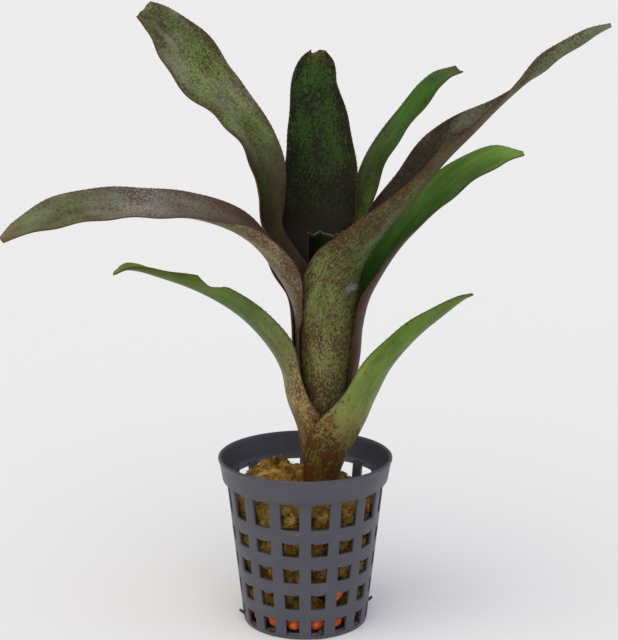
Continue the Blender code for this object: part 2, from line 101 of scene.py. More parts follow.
# Expanded clay pebbles: a ring with two places left empty at the back, and loose ones given by
# direction from the pot's axis, distance, height of the centre and radius
RING_PEBBLES = 16
RING_EMPTY = (3, 4)
RING_DISTANCE = 16.1
RING_RADIUS = 2.9
PEBBLE_LIFT = 0.5
LOOSE_PEBBLES = [(116, 5.9, 5.5, 3.7), (243, 5.9, 5.4, 3.6), (301, 16.6, 14.4, 3.6)]
POCKET_DISTANCE = 17.8
POCKET_RADIUS = 5.2

# Stem and roots
STEM_RADIUS = 2.2
STEM_PATH = [(5.0, 0, 22), (5.0, 0, 36), (5.2, 0, 50), (6.0, 0, 70), (6.4, 0, 79)]
ROOT_RADIUS = 0.6
ROOT_PATHS = [
    [
        (5.3, 0.4, 25), (5.6, 0.6, 12), (6.4, 0.9, 5), (9.0, 1.9, 2.3), (13.0, 5.6, 2.1),
        (16.4, 5.6, 2.0), (20.2, 4.3, 2.8), (22.0, 4.6, 4.6),
    ],
    [
        (4.6, 0.2, 25), (4.2, 0.1, 12), (3.0, -0.1, 5), (0.0, -0.4, 2.3), (-7.0, -2.8, 2.2),
        (-13.0, -5.6, 2.1), (-16.4, -5.6, 2.0), (-20.1, -4.3, 2.7), (-21.4, -4.3, 3.8),
    ],
    [
        (5.0, -0.8, 25), (4.9, -1.2, 12), (4.4, -2.4, 5), (2.8, -6.0, 2.3), (-1.5, -9.3, 2.2),
        (-5.3, -12.8, 2.1), (-7.5, -15.5, 2.0), (-10.6, -17.2, 2.3), (-11.8, -17.7, 2.7),
    ],
    [
        (5.4, -0.5, 25), (5.6, -1.0, 12), (5.6, -2.4, 5), (5.2, -6.5, 2.3), (5.6, -12.6, 2.1),
        (5.6, -16.4, 2.0), (4.4, -20.3, 2.7), (4.3, -22.0, 1.4),
    ],
]

# Leaves
LEAF_THICKNESS = 0.65
LEAF_ACROSS = 18
ROWS_PER_MM = 0.9
MIN_WIDTH = 0.8
MIN_WRAP = 4.0
# share of the thickness that the margins lose, and how far they are rounded out
MARGIN_THINNING = 0.35
MARGIN_BULGE = 0.12
# waves of the edges: their length, the angle between the two edges, and their fading to the tip
WAVE_LENGTH = 17.0
WAVE_SHIFT = 1.9
WAVE_FADE = 12.0
# spines, and the shares of the leaf's length between which they grow
SPINE_SPACING = 1.9
SPINE_LENGTH = 0.45
SPINE_SPAN = (0.42, 0.985)

# Leaf sheaths are nested layers of a tube: the higher the layer, the farther out it lies.
LAYER_PITCH = 1.1
TUBE_LAYER = 7
# height, radius of layer 7
TUBE = [
    (36, 2.3), (42, 3.5), (49, 4.8), (56, 6.2), (62, 7.6), (67, 8.8), (72, 9.9), (77, 10.9),
    (82, 11.5), (88, 12.0), (95, 12.4), (108, 13.0), (120, 14.0),
]
# height, distance of the tube's axis from the pot's axis
LEAN = [(36, 5.0), (50, 5.2), (70, 6.0), (95, 7.3), (120, 7.3)]

# A sheath station is height, facing, wrap: it lies on its layer of the tube.
# A blade station is x, y, height, facing, width, roll, wrap at the midrib.
# Facing is the direction in degrees that the leaf's back looks to, seen from above, from +X.
# Wrap is the angle in degrees of the arc that the leaf's cross section bends through.
# Colour rows are (share of the length, colour); speckle rows are (share of the length, cover).
# Fray is the depth of the torn end and its tears to a millimetre, and a notch in it is (place
# across from -1 to 1, half width, depth). A nick is (edge, share of the length, half length,
# share of the half width). Stain is the share of the length that is stained, and residue is
# (place across, place along, radius).
LEAVES = {
    "leaf_low_right": {
        "layer": 8,
        "sheath": [(39, 316, 220), (45, 312, 222), (51, 309, 204)],
        "blade": [
            (11.9, -6.9, 58, 311, 27, 0, 180), (16.0, -9.8, 67, 314, 24.8, 0, 146),
            (20, -13, 77, 317, 18.6, 0, 124), (25, -17, 88.1, 318, 17.6, 0, 105),
            (32.9, -21, 98.6, 318, 16, 0, 85), (41, -24, 106.4, 318, 12.8, 0, 70),
            (47, -26, 111.5, 318, 6, 0, 60), (50, -26.5, 113, 318, 2, 0, 60),
        ],
        "wave": 0.25,
        "upper": [(0.0, "#47521f"), (0.5, "#4e7323"), (1.0, "#607a2b")],
        "lower": [
            (0.0, "#453810"), (0.16, "#666129"), (0.3, "#827749"), (0.45, "#728140"),
            (0.8, "#56761e"), (1.0, "#5c6e24"),
        ],
        "speckle_upper": [(0.0, 0.25), (1.0, 0.12)],
        "speckle_lower": [(0.0, 0.55), (0.28, 0.44), (0.42, 0.2), (0.7, 0.12), (1.0, 0.2)],
        "blotch": 1.5,
        "bloom_and_sheen": 0.08,
        "pigment": ("#3c1a0e", "#5c371c"),
        "stain": 0.5,
    },
    "leaf_low_left": {
        "layer": 7,
        "sheath": [(42, 195, 220), (50, 195, 220), (58, 195, 195), (65, 192, 175)],
        "blade": [
            (-5.4, -2.6, 74, 190, 23.2, 0, 128), (-7.2, -4.0, 84, 191, 17.5, 3, 114),
            (-12, -7.5, 93.9, 195, 19.8, 10, 120), (-20, -10, 103.1, 195, 17.4, 15, 110),
            (-31, -11.5, 110.4, 195, 15.4, 18, 100), (-44, -12.5, 115.5, 195, 11.8, 10, 80),
            (-54, -13, 118.2, 195, 8.2, 0, 60), (-58.4, -13, 116.6, 195, 2.6, 0, 40),
        ],
        "wave": 0.3,
        "upper": [(0.0, "#616f2c"), (0.5, "#64932e"), (1.0, "#749733")],
        "lower": [
            (0.0, "#564a20"), (0.15, "#85733d"), (0.3, "#a0905c"), (0.42, "#74774a"),
            (0.6, "#576a37"), (0.85, "#52671b"), (1.0, "#494f15"),
        ],
        "speckle_upper": [(0.0, 0.25), (1.0, 0.15)],
        "speckle_lower": [(0.0, 0.55), (0.3, 0.5), (0.4, 0.36), (0.6, 0.2), (1.0, 0.22)],
        "blotch": 1.2,
        "bloom_and_sheen": 0.08,
        "pigment": ("#4c281e", "#704838"),
        "stain": 0.4,
        "nicks": [(1, 0.735, 4.0, 0.38)],
    },
    "leaf_stub": {
        "layer": 6,
        "sheath": [(47, 160, 200), (60, 160, 180), (75, 155, 125), (88, 153, 84), (98, 160, 64)],
        "blade": [
            (-5.1, 6.4, 106, 163, 8.0, 0, 60), (-9.4, 8.3, 112.6, 162, 10.6, 0, 70),
            (-11.7, 11.2, 118.5, 158, 9.5, 0, 60),
        ],
        "wave": 0.0,
        "upper": [(0.0, "#4b4630"), (0.8, "#51502c"), (1.0, "#3a2a1c")],
        "lower": [(0.0, "#54463a"), (0.6, "#6b5f4c"), (0.85, "#55502c"), (1.0, "#33261a")],
        "speckle_upper": [(0.0, 0.5), (1.0, 0.6)],
        "speckle_lower": [(0.0, 0.5), (1.0, 0.62)],
        "blotch": 1.0,
        "bloom_and_sheen": 0.2,
        "pigment": ("#341a14", "#503024"),
        "fray": (1.4, 0.6),
    },
    "leaf_long_left": {
        "layer": 5,
        "sheath": [(52, 154, 140), (62, 154, 140), (75, 152, 122), (88, 161, 92), (96, 170, 72)],
        "blade": [
            (-3.8, -2.3, 105, 190, 12.2, 0, 64), (-8.2, -5.6, 115, 204, 19, 0, 95),
            (-17, -7.5, 125.8, 200, 21.6, -10, 122), (-28, -9, 132.5, 194, 19, -17, 98),
            (-40, -11, 136.1, 194, 15.8, -26, 66), (-61, -14, 137.4, 194, 14.8, -33, 45),
            (-75, -18, 135.2, 194, 13.8, -32, 45), (-85, -21.5, 131.4, 194, 8.8, -25, 50),
            (-90.2, -23.5, 128.6, 194, 3.6, -20, 40),
        ],
        "wave": 0.3,
        # the light grey at 0.72 of the length is partly the leaf's own grey and partly a painted
        # sheen on the upper face
        "upper": [
            (0.0, "#312911"), (0.4, "#281a0c"), (0.52, "#463d28"), (0.72, "#79786f"),
            (0.84, "#566037"), (0.95, "#596240"), (1.0, "#735839"),
        ],
        "lower": [
            (0.0, "#8f7459"), (0.25, "#bb9780"), (0.4, "#948466"), (0.6, "#847e57"),
            (1.0, "#847745"),
        ],
        "speckle_upper": [(0.0, 0.6), (0.45, 0.62), (0.6, 0.5), (0.8, 0.5), (1.0, 0.3)],
        "speckle_lower": [(0.0, 0.5), (0.3, 0.52), (0.5, 0.5), (1.0, 0.3)],
        "blotch": 0.9,
        "bloom_and_sheen": 0.35,
        "pigment": ("#3e2823", "#593e38"),
    },
    "leaf_green_right": {
        "layer": 5.4,
        "sheath": [(52, 15, 76), (62, 15, 84), (75, 12, 104), (88, 3, 95)],
        "blade": [
            (18, -0.5, 98, 1, 16.4, 0, 88), (20.5, -0.5, 108, 1, 19.3, 3, 84),
            (29, 2, 123, 10, 18, 10, 100), (39, 4, 134.5, 12, 16.5, 18, 80),
            (49, 5, 144, 12, 14, 24, 55), (60, 6, 150, 12, 10.5, 26, 45),
            (68.3, 7, 151, 12, 2.2, 25, 40),
        ],
        "wave": 0.3,
        "upper": [
            (0.0, "#3f552e"), (0.4, "#3a5a2a"), (0.6, "#4a772d"), (0.8, "#5c8632"),
            (1.0, "#6e8c3c"),
        ],
        "lower": [(0.0, "#241c0b"), (0.4, "#3d3a18"), (0.6, "#273311"), (1.0, "#2a3516")],
        "speckle_upper": [(0.0, 0.25), (0.5, 0.05), (1.0, 0.1)],
        "speckle_lower": [(0.0, 0.6), (0.45, 0.56), (0.6, 0.2), (1.0, 0.1)],
        "blotch": 1.1,
        "bloom_and_sheen": 0.08,
        "pigment": ("#3e2013", "#5b3528"),
    },
    "leaf_long_right": {
        "layer": 4,
        "sheath": [
            (58, 335, 210), (70, 325, 230), (85, 300, 215), (93, 286, 185), (101, 284, 176),
            (108, 284, 165),
        ],
        "blade": [
            (16, -8.2, 117, 308, 29, 8, 150), (23.6, -8.2, 127.4, 325, 29.8, 20, 141),
            (34.3, -6, 140.2, 335, 25.2, 27, 137), (43.6, -5, 151.9, 335, 26.2, 30, 118),
            (54.6, -4, 162.6, 335, 18.5, 24, 88), (66, -3, 173, 335, 8, 0, 60),
            (73, -3, 180, 335, 7, -35, 50), (80.2, -3.5, 185, 335, 5, -45, 50),
            (86, -4, 188.5, 335, 4, -45, 50), (92, -4, 191, 335, 1.5, -40, 40),
        ],
        "wave": 0.3,
        "upper": [
            (0.0, "#0e0f06"), (0.5, "#0c0d05"), (0.64, "#2b2e1b"), (0.74, "#2d3c15"),
            (0.93, "#3b571c"), (1.0, "#5c6f49"),
        ],
        "lower": [
            (0.0, "#7e6c44"), (0.12, "#787a48"), (0.4, "#5a6a38"), (0.6, "#4c5626"),
            (0.8, "#3a4c18"), (1.0, "#798264"),
        ],
        "speckle_upper": [(0.0, 0.6), (0.6, 0.62), (0.8, 0.55), (1.0, 0.4)],
        "speckle_lower": [
            (0.0, 0.62), (0.2, 0.54), (0.36, 0.48), (0.5, 0.54), (0.8, 0.55), (1.0, 0.3),
        ],
        "blotch": 1.15,
        "bloom_and_sheen": 0.4,
        "pigment": ("#40201a", "#583428"),
        "pigment_upper": ("#160b06", "#2e1c12"),
        "residue": (3.4, 56.0, 4.5),
    },
    "leaf_back_right": {
        "layer": 2.85,
        "sheath": [(62, 60, 150), (75, 60, 135), (88, 68, 86)],
        "blade": [
            (10.0, 8.1, 96, 70, 8.8, 0, 58), (11.8, 10.8, 104, 68, 8.6, 0, 55),
            (15, 15, 113, 60, 10, 0, 60), (17.6, 20, 125, 56, 11, 0, 75),
            (19.1, 23, 134, 55, 10, 0, 85), (24.7, 29, 147.9, 55, 9.6, 0, 80),
            (35.8, 37, 162.2, 55, 9.2, 0, 70), (44.5, 42, 171.5, 55, 8.5, 0, 60),
            (51.2, 44, 174.2, 55, 6.4, 0, 60),
        ],
        "wave": 0.3,
        "upper": [
            (0.0, "#303a21"), (0.5, "#4e6a30"), (0.65, "#2c3b0f"), (0.8, "#325616"),
            (0.93, "#315014"), (1.0, "#485428"),
        ],
        "lower": [(0.0, "#313814"), (0.5, "#3b4c19"), (1.0, "#475e20")],
        "speckle_upper": [(0.0, 0.5), (0.6, 0.42), (0.8, 0.25), (1.0, 0.2)],
        "speckle_lower": [(0.0, 0.4), (1.0, 0.25)],
        "blotch": 1.1,
        "bloom_and_sheen": 0.08,
        "pigment": ("#1d1406", "#31260f"),
    },
    "leaf_back_centre": {
        "layer": 1.9,
        "sheath": [(69, 96, 140), (80, 98, 125), (88, 98, 105), (94, 98, 88)],
        "blade": [
            (6.6, 8.6, 103, 94, 14.5, 0, 90), (5.5, 14, 112, 88, 19, 0, 80),
            (4.5, 18.5, 120, 87, 23, 0, 78), (3.8, 22, 127, 88, 26.5, 0, 76),
            (4.9, 26, 140, 90, 25.5, 0, 70), (4.3, 31, 157, 92, 20.6, 0, 55),
            (2.9, 35, 170, 92, 15.4, 0, 45), (4, 37.5, 178, 92, 11, 0, 40),
            (4.6, 38.5, 182, 92, 3, 0, 30),
        ],
        "wave": 0.35,
        # painted shade: the upper face is near black up to half its length, for the shade deep in
        # the cup and behind the upper-left leaf
        "upper": [
            (0.0, "#060503"), (0.4, "#0a0804"), (0.5, "#0e0d05"), (0.66, "#26380e"),
            (0.94, "#2c4814"), (1.0, "#45411d"),
        ],
        "lower": [(0.0, "#2c2813"), (0.5, "#2e3e15"), (1.0, "#34491a")],
        "speckle_upper": [(0.0, 0.6), (0.5, 0.62), (0.7, 0.52), (1.0, 0.5)],
        "speckle_lower": [(0.0, 0.5), (1.0, 0.4)],
        "blotch": 1.3,
        "bloom_and_sheen": 0.0,
        "pigment": ("#0c0402", "#1a0d07"),
        "fray": (0.8, 0.5),
        "notch": [(0.55, 0.5, 1.1)],
    },
    "leaf_upper_left": {
        "layer": 1,
        "sheath": [(76, 147, 150), (84, 147, 145), (93, 147, 125)],
        "blade": [
            (1.4, 3.9, 103, 150, 15.5, 0, 120), (-2.5, 5.6, 110, 153, 15, 0, 98),
            (-7.3, 8.2, 118, 157, 14.5, 0, 90), (-12.4, 11.2, 126.5, 158, 14, 0, 85),
            (-12.7, 15.4, 136, 145, 15, 0, 80), (-14.0, 21, 148, 128, 15, 0, 70),
            (-21.2, 28, 160, 118, 16.5, 0, 45), (-32.5, 34, 171.5, 116, 21, 0, 30),
            (-40.8, 39, 183, 116, 20, 0, 30), (-48.6, 42, 190.7, 116, 13.6, 0, 30),
            (-53.8, 43, 194.4, 116, 8.5, 0, 30),
        ],
        "wave": 0.5,
        "upper": [
            (0.0, "#21180c"), (0.3, "#1f190b"), (0.42, "#222610"), (0.55, "#385218"),
            (0.68, "#5f7236"), (0.8, "#66763e"), (0.93, "#485c28"), (1.0, "#5c6438"),
        ],
        "lower": [(0.0, "#434127"), (0.5, "#4f5c2f"), (1.0, "#51662f")],
        "speckle_upper": [(0.0, 0.6), (0.5, 0.6), (0.75, 0.5), (1.0, 0.56)],
        "speckle_lower": [(0.0, 0.5), (1.0, 0.4)],
        "blotch": 1.1,
        "bloom_and_sheen": 0.55,
        "pigment": ("#312214", "#463620"),
        "fray": (0.9, 0.35),
    },
    "leaf_heart": {
        "layer": 0,
        "sheath": [(82, 80, 190), (92, 80, 185), (104, 80, 185)],
        "blade": [(7.5, 5.6, 116, 80, 17, 0, 170), (7.5, 6.8, 127, 80, 16, 0, 150)],
        "wave": 0.0,
        # painted shade: the heart is near black on both faces, for the shade at the bottom of the
        # cup, up to its pale torn end
        "upper": [(0.0, "#070b07"), (0.9, "#141a0f"), (0.985, "#14180c"), (1.0, "#565039")],
        "lower": [(0.0, "#060b05"), (0.985, "#0c120a"), (1.0, "#565039")],
        "speckle_upper": [(0.0, 0.4), (1.0, 0.2)],
        "speckle_lower": [(0.0, 0.4), (1.0, 0.2)],
        "blotch": 1.0,
        "bloom_and_sheen": 0.0,
        "pigment": ("#030303", "#090705"),
        "fray": (1.6, 0.45),
    },
}


# Small tools

def srgb(code, alpha=1.0):
    """A hex colour as linear light."""
    values = [int(code[i:i + 2], 16) / 255 for i in (1, 3, 5)]
    linear = [v / 12.92 if v <= 0.04045 else ((v + 0.055) / 1.055) ** 2.4 for v in values]
    return (*linear, alpha)


def plug(tree, item, inputs):
    """Fills a node's inputs, each from another node's socket or with a plain value."""
    for key, value in inputs.items():
        if isinstance(value, bpy.types.NodeSocket):
            tree.links.new(value, item.inputs[key])
        else:
            item.inputs[key].default_value = value


def fill_ramp(stops, rows):
    """Sets a Color Ramp's stops from rows of (place, hex colour or grey value)."""
    while len(stops) < len(rows):
        stops.new(0.5)
    for stop, (place, value) in zip(stops, rows):
        stop.position = place
        stop.color = srgb(value) if isinstance(value, str) else (value, value, value, 1.0)


def add(tree, kind, inputs=None, take=0, stops=(), **settings):
    """Adds one node with its inputs, a ramp's stops and its own settings.

    It gives the output that take says, by number or by name, or the whole node for None.
    """
    item = tree.nodes.new(kind)
    if stops:
        fill_ramp(item.color_ramp.elements, stops)
    for key, value in settings.items():
        setattr(item, key, value)
    plug(tree, item, inputs or {})
    return item if take is None else item.outputs[take]


# The kinds and settings of the nodes that come most often
NOISE = "ShaderNodeTexNoise"
RAMP = "ShaderNodeValToRGB"
MATH = "ShaderNodeMath"
RANGE = "ShaderNodeMapRange"
MIX = "ShaderNodeMix"
BUMP = "ShaderNodeBump"
PLUS = {"operation": "ADD"}
TIMES = {"operation": "MULTIPLY"}
TIMES_PLUS = {"operation": "MULTIPLY_ADD"}
SOFT = {"interpolation_type": "SMOOTHSTEP"}
COLOURS = {"take": 2, "data_type": "RGBA"}
SHADE = {**COLOURS, "blend_type": "MULTIPLY"}


def new_material(name, uv_map=None):
    """A material, its tree and shader, and the place on the piece: in metres, or its UV map's."""
    material = bpy.data.materials.new(name)
    material.use_nodes = True
    tree = material.node_tree
    if uv_map:
        place = add(tree, "ShaderNodeUVMap", uv_map=uv_map)
    else:
        place = add(tree, "ShaderNodeTexCoord", take="Object")
    return material, tree, tree.nodes["Principled BSDF"], place


def to_mesh(shape, name):
    """Turns a bmesh into a plain mesh; the bmesh goes away."""
    mesh = bpy.data.meshes.new(name)
    shape.to_mesh(mesh)
    shape.free()
    return mesh


def face_out(shape):
    shape.normal_update()
    bmesh.ops.recalc_face_normals(shape, faces=shape.faces)


def join_rings(shape, a, b):
    """Joins two closed rings of vertices with a belt of faces."""
    for i in range(len(a)):
        j = (i + 1) % len(a)
        shape.faces.new((a[i], a[j], b[j], b[i]))


def join_rows(shape, a, b, left_open=()):
    """Joins two open rows of vertices with faces, except at the places left open."""
    for j in range(len(a) - 1):
        if j not in left_open:
            shape.faces.new((a[j], b[j], b[j + 1], a[j + 1]))


def loose_object(name, data):
    item = bpy.data.objects.new(name, data)
    bpy.context.scene.collection.objects.link(item)
    return item


def final_mesh(item, name):
    """The plain mesh of an object with its modifiers applied; the object goes away."""
    bpy.context.view_layer.update()
    graph = bpy.context.evaluated_depsgraph_get()
    mesh = bpy.data.meshes.new_from_object(item.evaluated_get(graph))
    mesh.name = name
    bpy.data.objects.remove(item, do_unlink=True)
    return mesh


def place_piece(name, mesh, material, replaced=(), angle=None):
    """Puts a finished mesh in the scene as a piece of the object.

    It is shaded smooth, but sharp across an angle in degrees where one is given. The material
    is None for a mesh that a tree has dressed.
    """
    for face in mesh.polygons:
        face.use_smooth = True
    if angle:
        mesh.set_sharp_from_angle(angle=math.radians(angle))
    if material:
        mesh.materials.clear()
        mesh.materials.append(material)
    item = loose_object(name, mesh)
    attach(item, "root")
    if replaced:
        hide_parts(*replaced)


def new_tree(name, **inputs):
    """A Geometry Nodes tree that takes a geometry, the named inputs and a material."""
    tree = bpy.data.node_groups.new(name, "GeometryNodeTree")
    for label, kind in {"Geometry": "Geometry", **inputs, "Material": "Material"}.items():
        tree.interface.new_socket(label, in_out="INPUT", socket_type="NodeSocket" + kind)
    tree.interface.new_socket("Geometry", in_out="OUTPUT", socket_type="NodeSocketGeometry")
    return tree, tree.nodes.new("NodeGroupInput").outputs


def end_tree(tree, given, weld=None, **copies):
    """Sets copies of a shape on points, makes them real, welds them and dresses them."""
    shape = add(tree, "GeometryNodeInstanceOnPoints", copies)
    shape = add(tree, "GeometryNodeRealizeInstances", {"Geometry": shape})
    if weld:
        shape = add(tree, "GeometryNodeMergeByDistance", {"Geometry": shape, "Distance": weld})
    wanted = {"Geometry": shape, "Material": given["Material"]}
    shape = add(tree, "GeometryNodeSetMaterial", wanted)
    tree.links.new(shape, tree.nodes.new("NodeGroupOutput").inputs[0])
    return tree


def run_tree(mesh, tree, values, name):
    """Runs a Geometry Nodes tree on a mesh with named inputs and gives the plain mesh it makes."""
    item = loose_object(name, mesh)
    modifier = item.modifiers.new("repeat", "NODES")
    modifier.node_group = tree
    sockets = {s.name: s.identifier for s in tree.interface.items_tree if s.in_out == "INPUT"}
    for key, value in values.items():
        modifier[sockets[key]] = value
    return final_mesh(item, name)


def direction_of(a):
    return Vector((math.cos(a), math.sin(a), 0))


def direction(degrees):
    return direction_of(math.radians(degrees))


def from_table(table, z):
    """Value at a height, on straight lines between the rows of a table."""
    if z <= table[0][0]:
        return table[0][1]
    for (z0, v0), (z1, v1) in zip(table, table[1:]):
        if z <= z1:
            return v0 + (v1 - v0) * (z - z0) / (z1 - z0)
    return table[-1][1]


def ease(low, high, x):
    """Rises smoothly from 0 at low to 1 at high."""
    t = min(max((x - low) / (high - low), 0.0), 1.0)
    return t * t * (3 - 2 * t)


# Materials

def leaf_skin(name, look):
    """Living bromeliad leaf: waxy cuticle over green tissue with maroon pigment speckles.

    A satin sheen from the cuticle, fine parallel veins along the blade, sharp speckles that
    stretch along the veins, and a grey bloom of tiny scales that dulls it in patches; the
    bloom's grey is partly a painted sheen.
    """
    material, tree, shader, place = new_material(name, "leaf_mm")
    upper, along, margin = [
        add(tree, "ShaderNodeAttribute", take="Fac", attribute_name=key)
        for key in ("upper", "along", "margin")
    ]
    split = add(tree, "ShaderNodeSeparateXYZ", {"Vector": place}, None).outputs
    face = add(tree, MATH, {0: upper, 1: 40.0}, **TIMES)
    point = add(tree, "ShaderNodeCombineXYZ", {"X": split["X"], "Y": split["Y"], "Z": face})

    # width and length in mm of each pattern's cells, detail, roughness, distortion, shift
    size = look["blotch"]
    patterns = {
        "cloud": (5, 14, 3.0, 0.6, 0.0, (0, 0, 0)),
        "vein": (0.5, 40, 2.0, 0.6, 0.0, (0, 0, 0)),
        "streak": (1.7, 60, 2.0, 0.5, 0.0, (4.4, 0.7, 3.0)),
        "coarse": (0.6 * size, 1.15 * size, 4.0, 0.66, 0.3, (0, 0, 0)),
        "fine": (0.3 * size, 0.5 * size, 2.0, 0.6, 0.0, (3.3, 8.1, 1.0)),
        "drift": (5, 9, 2.0, 0.5, 0.0, (7.3, 2.1, 5.0)),
        "band": (2.5, 0.7, 2.0, 0.6, 0.0, (0, 0, 0)),
        "patch": (7, 22, 3.0, 0.6, 0.0, (1, 9, 2)),
    }
    if "stain" in look:
        patterns["stain"] = (2.6, 5.0, 4.0, 0.6, 0.6, (2.2, 6.0, 8.0))
    if "residue" in look:
        patterns["crust"] = (0.5, 0.7, 4.0, 0.7, 0.0, (5, 5, 5))
    grain = {}
    for key, (width, length, detail, rough, bent, shift) in patterns.items():
        scale = (1 / width, 1 / length, 1)
        spot = add(tree, "ShaderNodeMapping", {"Vector": point, "Location": shift, "Scale": scale})
        wanted = {"Vector": spot, "Scale": 1.0, "Detail": detail, "Roughness": rough}
        grain[key] = add(tree, NOISE, {**wanted, "Distortion": bent})

    # clouds of lighter and darker tissue, and veins and streaks that run along the leaf
    ramps = {}
    for key in ("lower", "upper", "speckle_lower", "speckle_upper"):
        ramps[key] = add(tree, RAMP, {"Fac": along}, stops=look[key])
    tissue = add(tree, MIX, {0: upper, 6: ramps["lower"], 7: ramps["upper"]}, **COLOURS)
    for key, low, high, dark, light in (
        ("cloud", 0.3, 0.7, 0.7, 1.34),
        ("vein", 0.3, 0.7, 0.86, 1.13),
        ("streak", 0.32, 0.68, 0.92, 1.09),
    ):
        gain = add(tree, RANGE, {0: grain[key], 1: low, 2: high, 3: dark, 4: light})
        tissue = add(tree, MIX, {0: 1.0, 6: tissue, 7: gain}, **SHADE)

    # sharp maroon speckles, half a millimetre to two millimetres, denser in drifts and at margins
    level = add(tree, MATH, {0: grain["fine"], 1: 0.42}, **TIMES)
    level = add(tree, MATH, {0: grain["coarse"], 1: 0.58, 2: level}, **TIMES_PLUS)
    wanted = {0: upper, 6: ramps["speckle_lower"], 7: ramps["speckle_upper"]}
    cover = add(tree, MIX, wanted, **COLOURS)
    cover = add(tree, MATH, {0: cover, 1: 0.34, 2: -0.17}, **TIMES_PLUS)
    drift = add(tree, RANGE, {0: grain["drift"], 1: 0.3, 2: 0.7, 3: -0.05, 4: 0.05})
    rim = add(tree, RANGE, {0: margin, 1: 0.45, 2: 1.0, 3: -0.01, 4: 0.045})
    for extra in (cover, drift, rim):
        level = add(tree, MATH, {0: level, 1: extra}, **PLUS)
    mask = add(tree, RANGE, {0: level, 1: 0.478, 2: 0.53, 3: 0.0, 4: 0.88}, **SOFT)
    pigments = [
        add(tree, MIX, {0: grain["cloud"], 6: srgb(dark), 7: srgb(light)}, **COLOURS)
        for dark, light in (look["pigment"], look.get("pigment_upper", look["pigment"]))
    ]
    pigment = add(tree, MIX, {0: upper, 6: pigments[0], 7: pigments[1]}, **COLOURS)
    colour = add(tree, MIX, {0: mask, 6: tissue, 7: pigment}, **COLOURS)

    def marks(pattern, away, reach, most, full):
        """Cover of marks that are densest where away is 0 and end near reach."""
        near = add(tree, RANGE, {0: away, 1: 0.0, 2: reach, 3: most, 4: -0.14})
        level = add(tree, MATH, {0: pattern, 1: near}, **PLUS)
        return add(tree, RANGE, {0: level, 1: 0.52, 2: full, 3: 0.0, 4: 0.75}, **SOFT)

    coats = []
    # red-brown stains two to five millimetres wide on the foot of the outer sheaths
    if "stain" in look:
        coats.append((marks(grain["stain"], along, look["stain"], 0.16, 0.6), "#5c2a1c"))
    # grey bloom of scales in patches, with faint cross bands 0.7 mm apart; it is partly real bloom
    # and partly a painted sheen, strongest on the leaves that shine most
    frost_and_sheen = add(tree, MATH, {0: grain["band"], 1: 0.4, 2: grain["patch"]}, **TIMES_PLUS)
    frost_and_sheen = add(tree, RANGE, {0: frost_and_sheen, 1: 0.6, 2: 0.95, 3: 0.0, 4: look["bloom_and_sheen"]}, **SOFT)
    outer = add(tree, RANGE, {0: along, 1: 0.5, 2: 0.74, 3: 0.1, 4: 1.0})
    frost_and_sheen = add(tree, MATH, {0: frost_and_sheen, 1: outer}, **TIMES)
    coats.append((frost_and_sheen, "#93917c"))
    # dried bluish-white residue of hard water where the blade leaves the tube
    if "residue" in look:
        across, run, radius = look["residue"]
        wanted = {0: place, 1: (across, run, 0)}
        away = add(tree, "ShaderNodeVectorMath", wanted, "Value", operation="DISTANCE")
        coats.append((marks(grain["crust"], away, radius, 0.2, 0.64), "#93a0aa"))
    # a thin dry margin
    edge = add(tree, RANGE, {0: margin, 1: 0.955, 2: 0.995, 3: 0.0, 4: 0.55})
    coats.append((edge, "#4a2a1e"))
    for share, code in coats:
        colour = add(tree, MIX, {0: share, 6: colour, 7: srgb(code)}, **COLOURS)

    relief = add(tree, MATH, {0: grain["vein"], 1: 0.8}, **TIMES)
    relief = add(tree, MATH, {0: grain["band"], 1: 0.25, 2: relief}, **TIMES_PLUS)
    plug(tree, shader, {
        "Base Color": colour,
        "Roughness": add(tree, RANGE, {0: frost_and_sheen, 1: 0.0, 2: 0.6, 3: 0.42, 4: 0.62}),
        "IOR": 1.45,
        "Specular IOR Level": 0.12,
        "Normal": add(tree, BUMP, {"Height": relief, "Strength": 0.5, "Distance": 0.00025}),
    })
    return material


def spine_horn():
    """Horny leaf spine: brown, dry and slightly glossy."""
    material, tree, shader, place = new_material("brown_leaf_spine_horn")
    grain = add(tree, NOISE, {"Vector": place, "Scale": 900.0, "Detail": 2.0})
    colour = add(tree, MIX, {0: grain, 6: srgb("#4a2418"), 7: srgb("#7a4a30")}, **COLOURS)
    plug(tree, shader, {"Base Color": colour, "Roughness": 0.5})
    return material


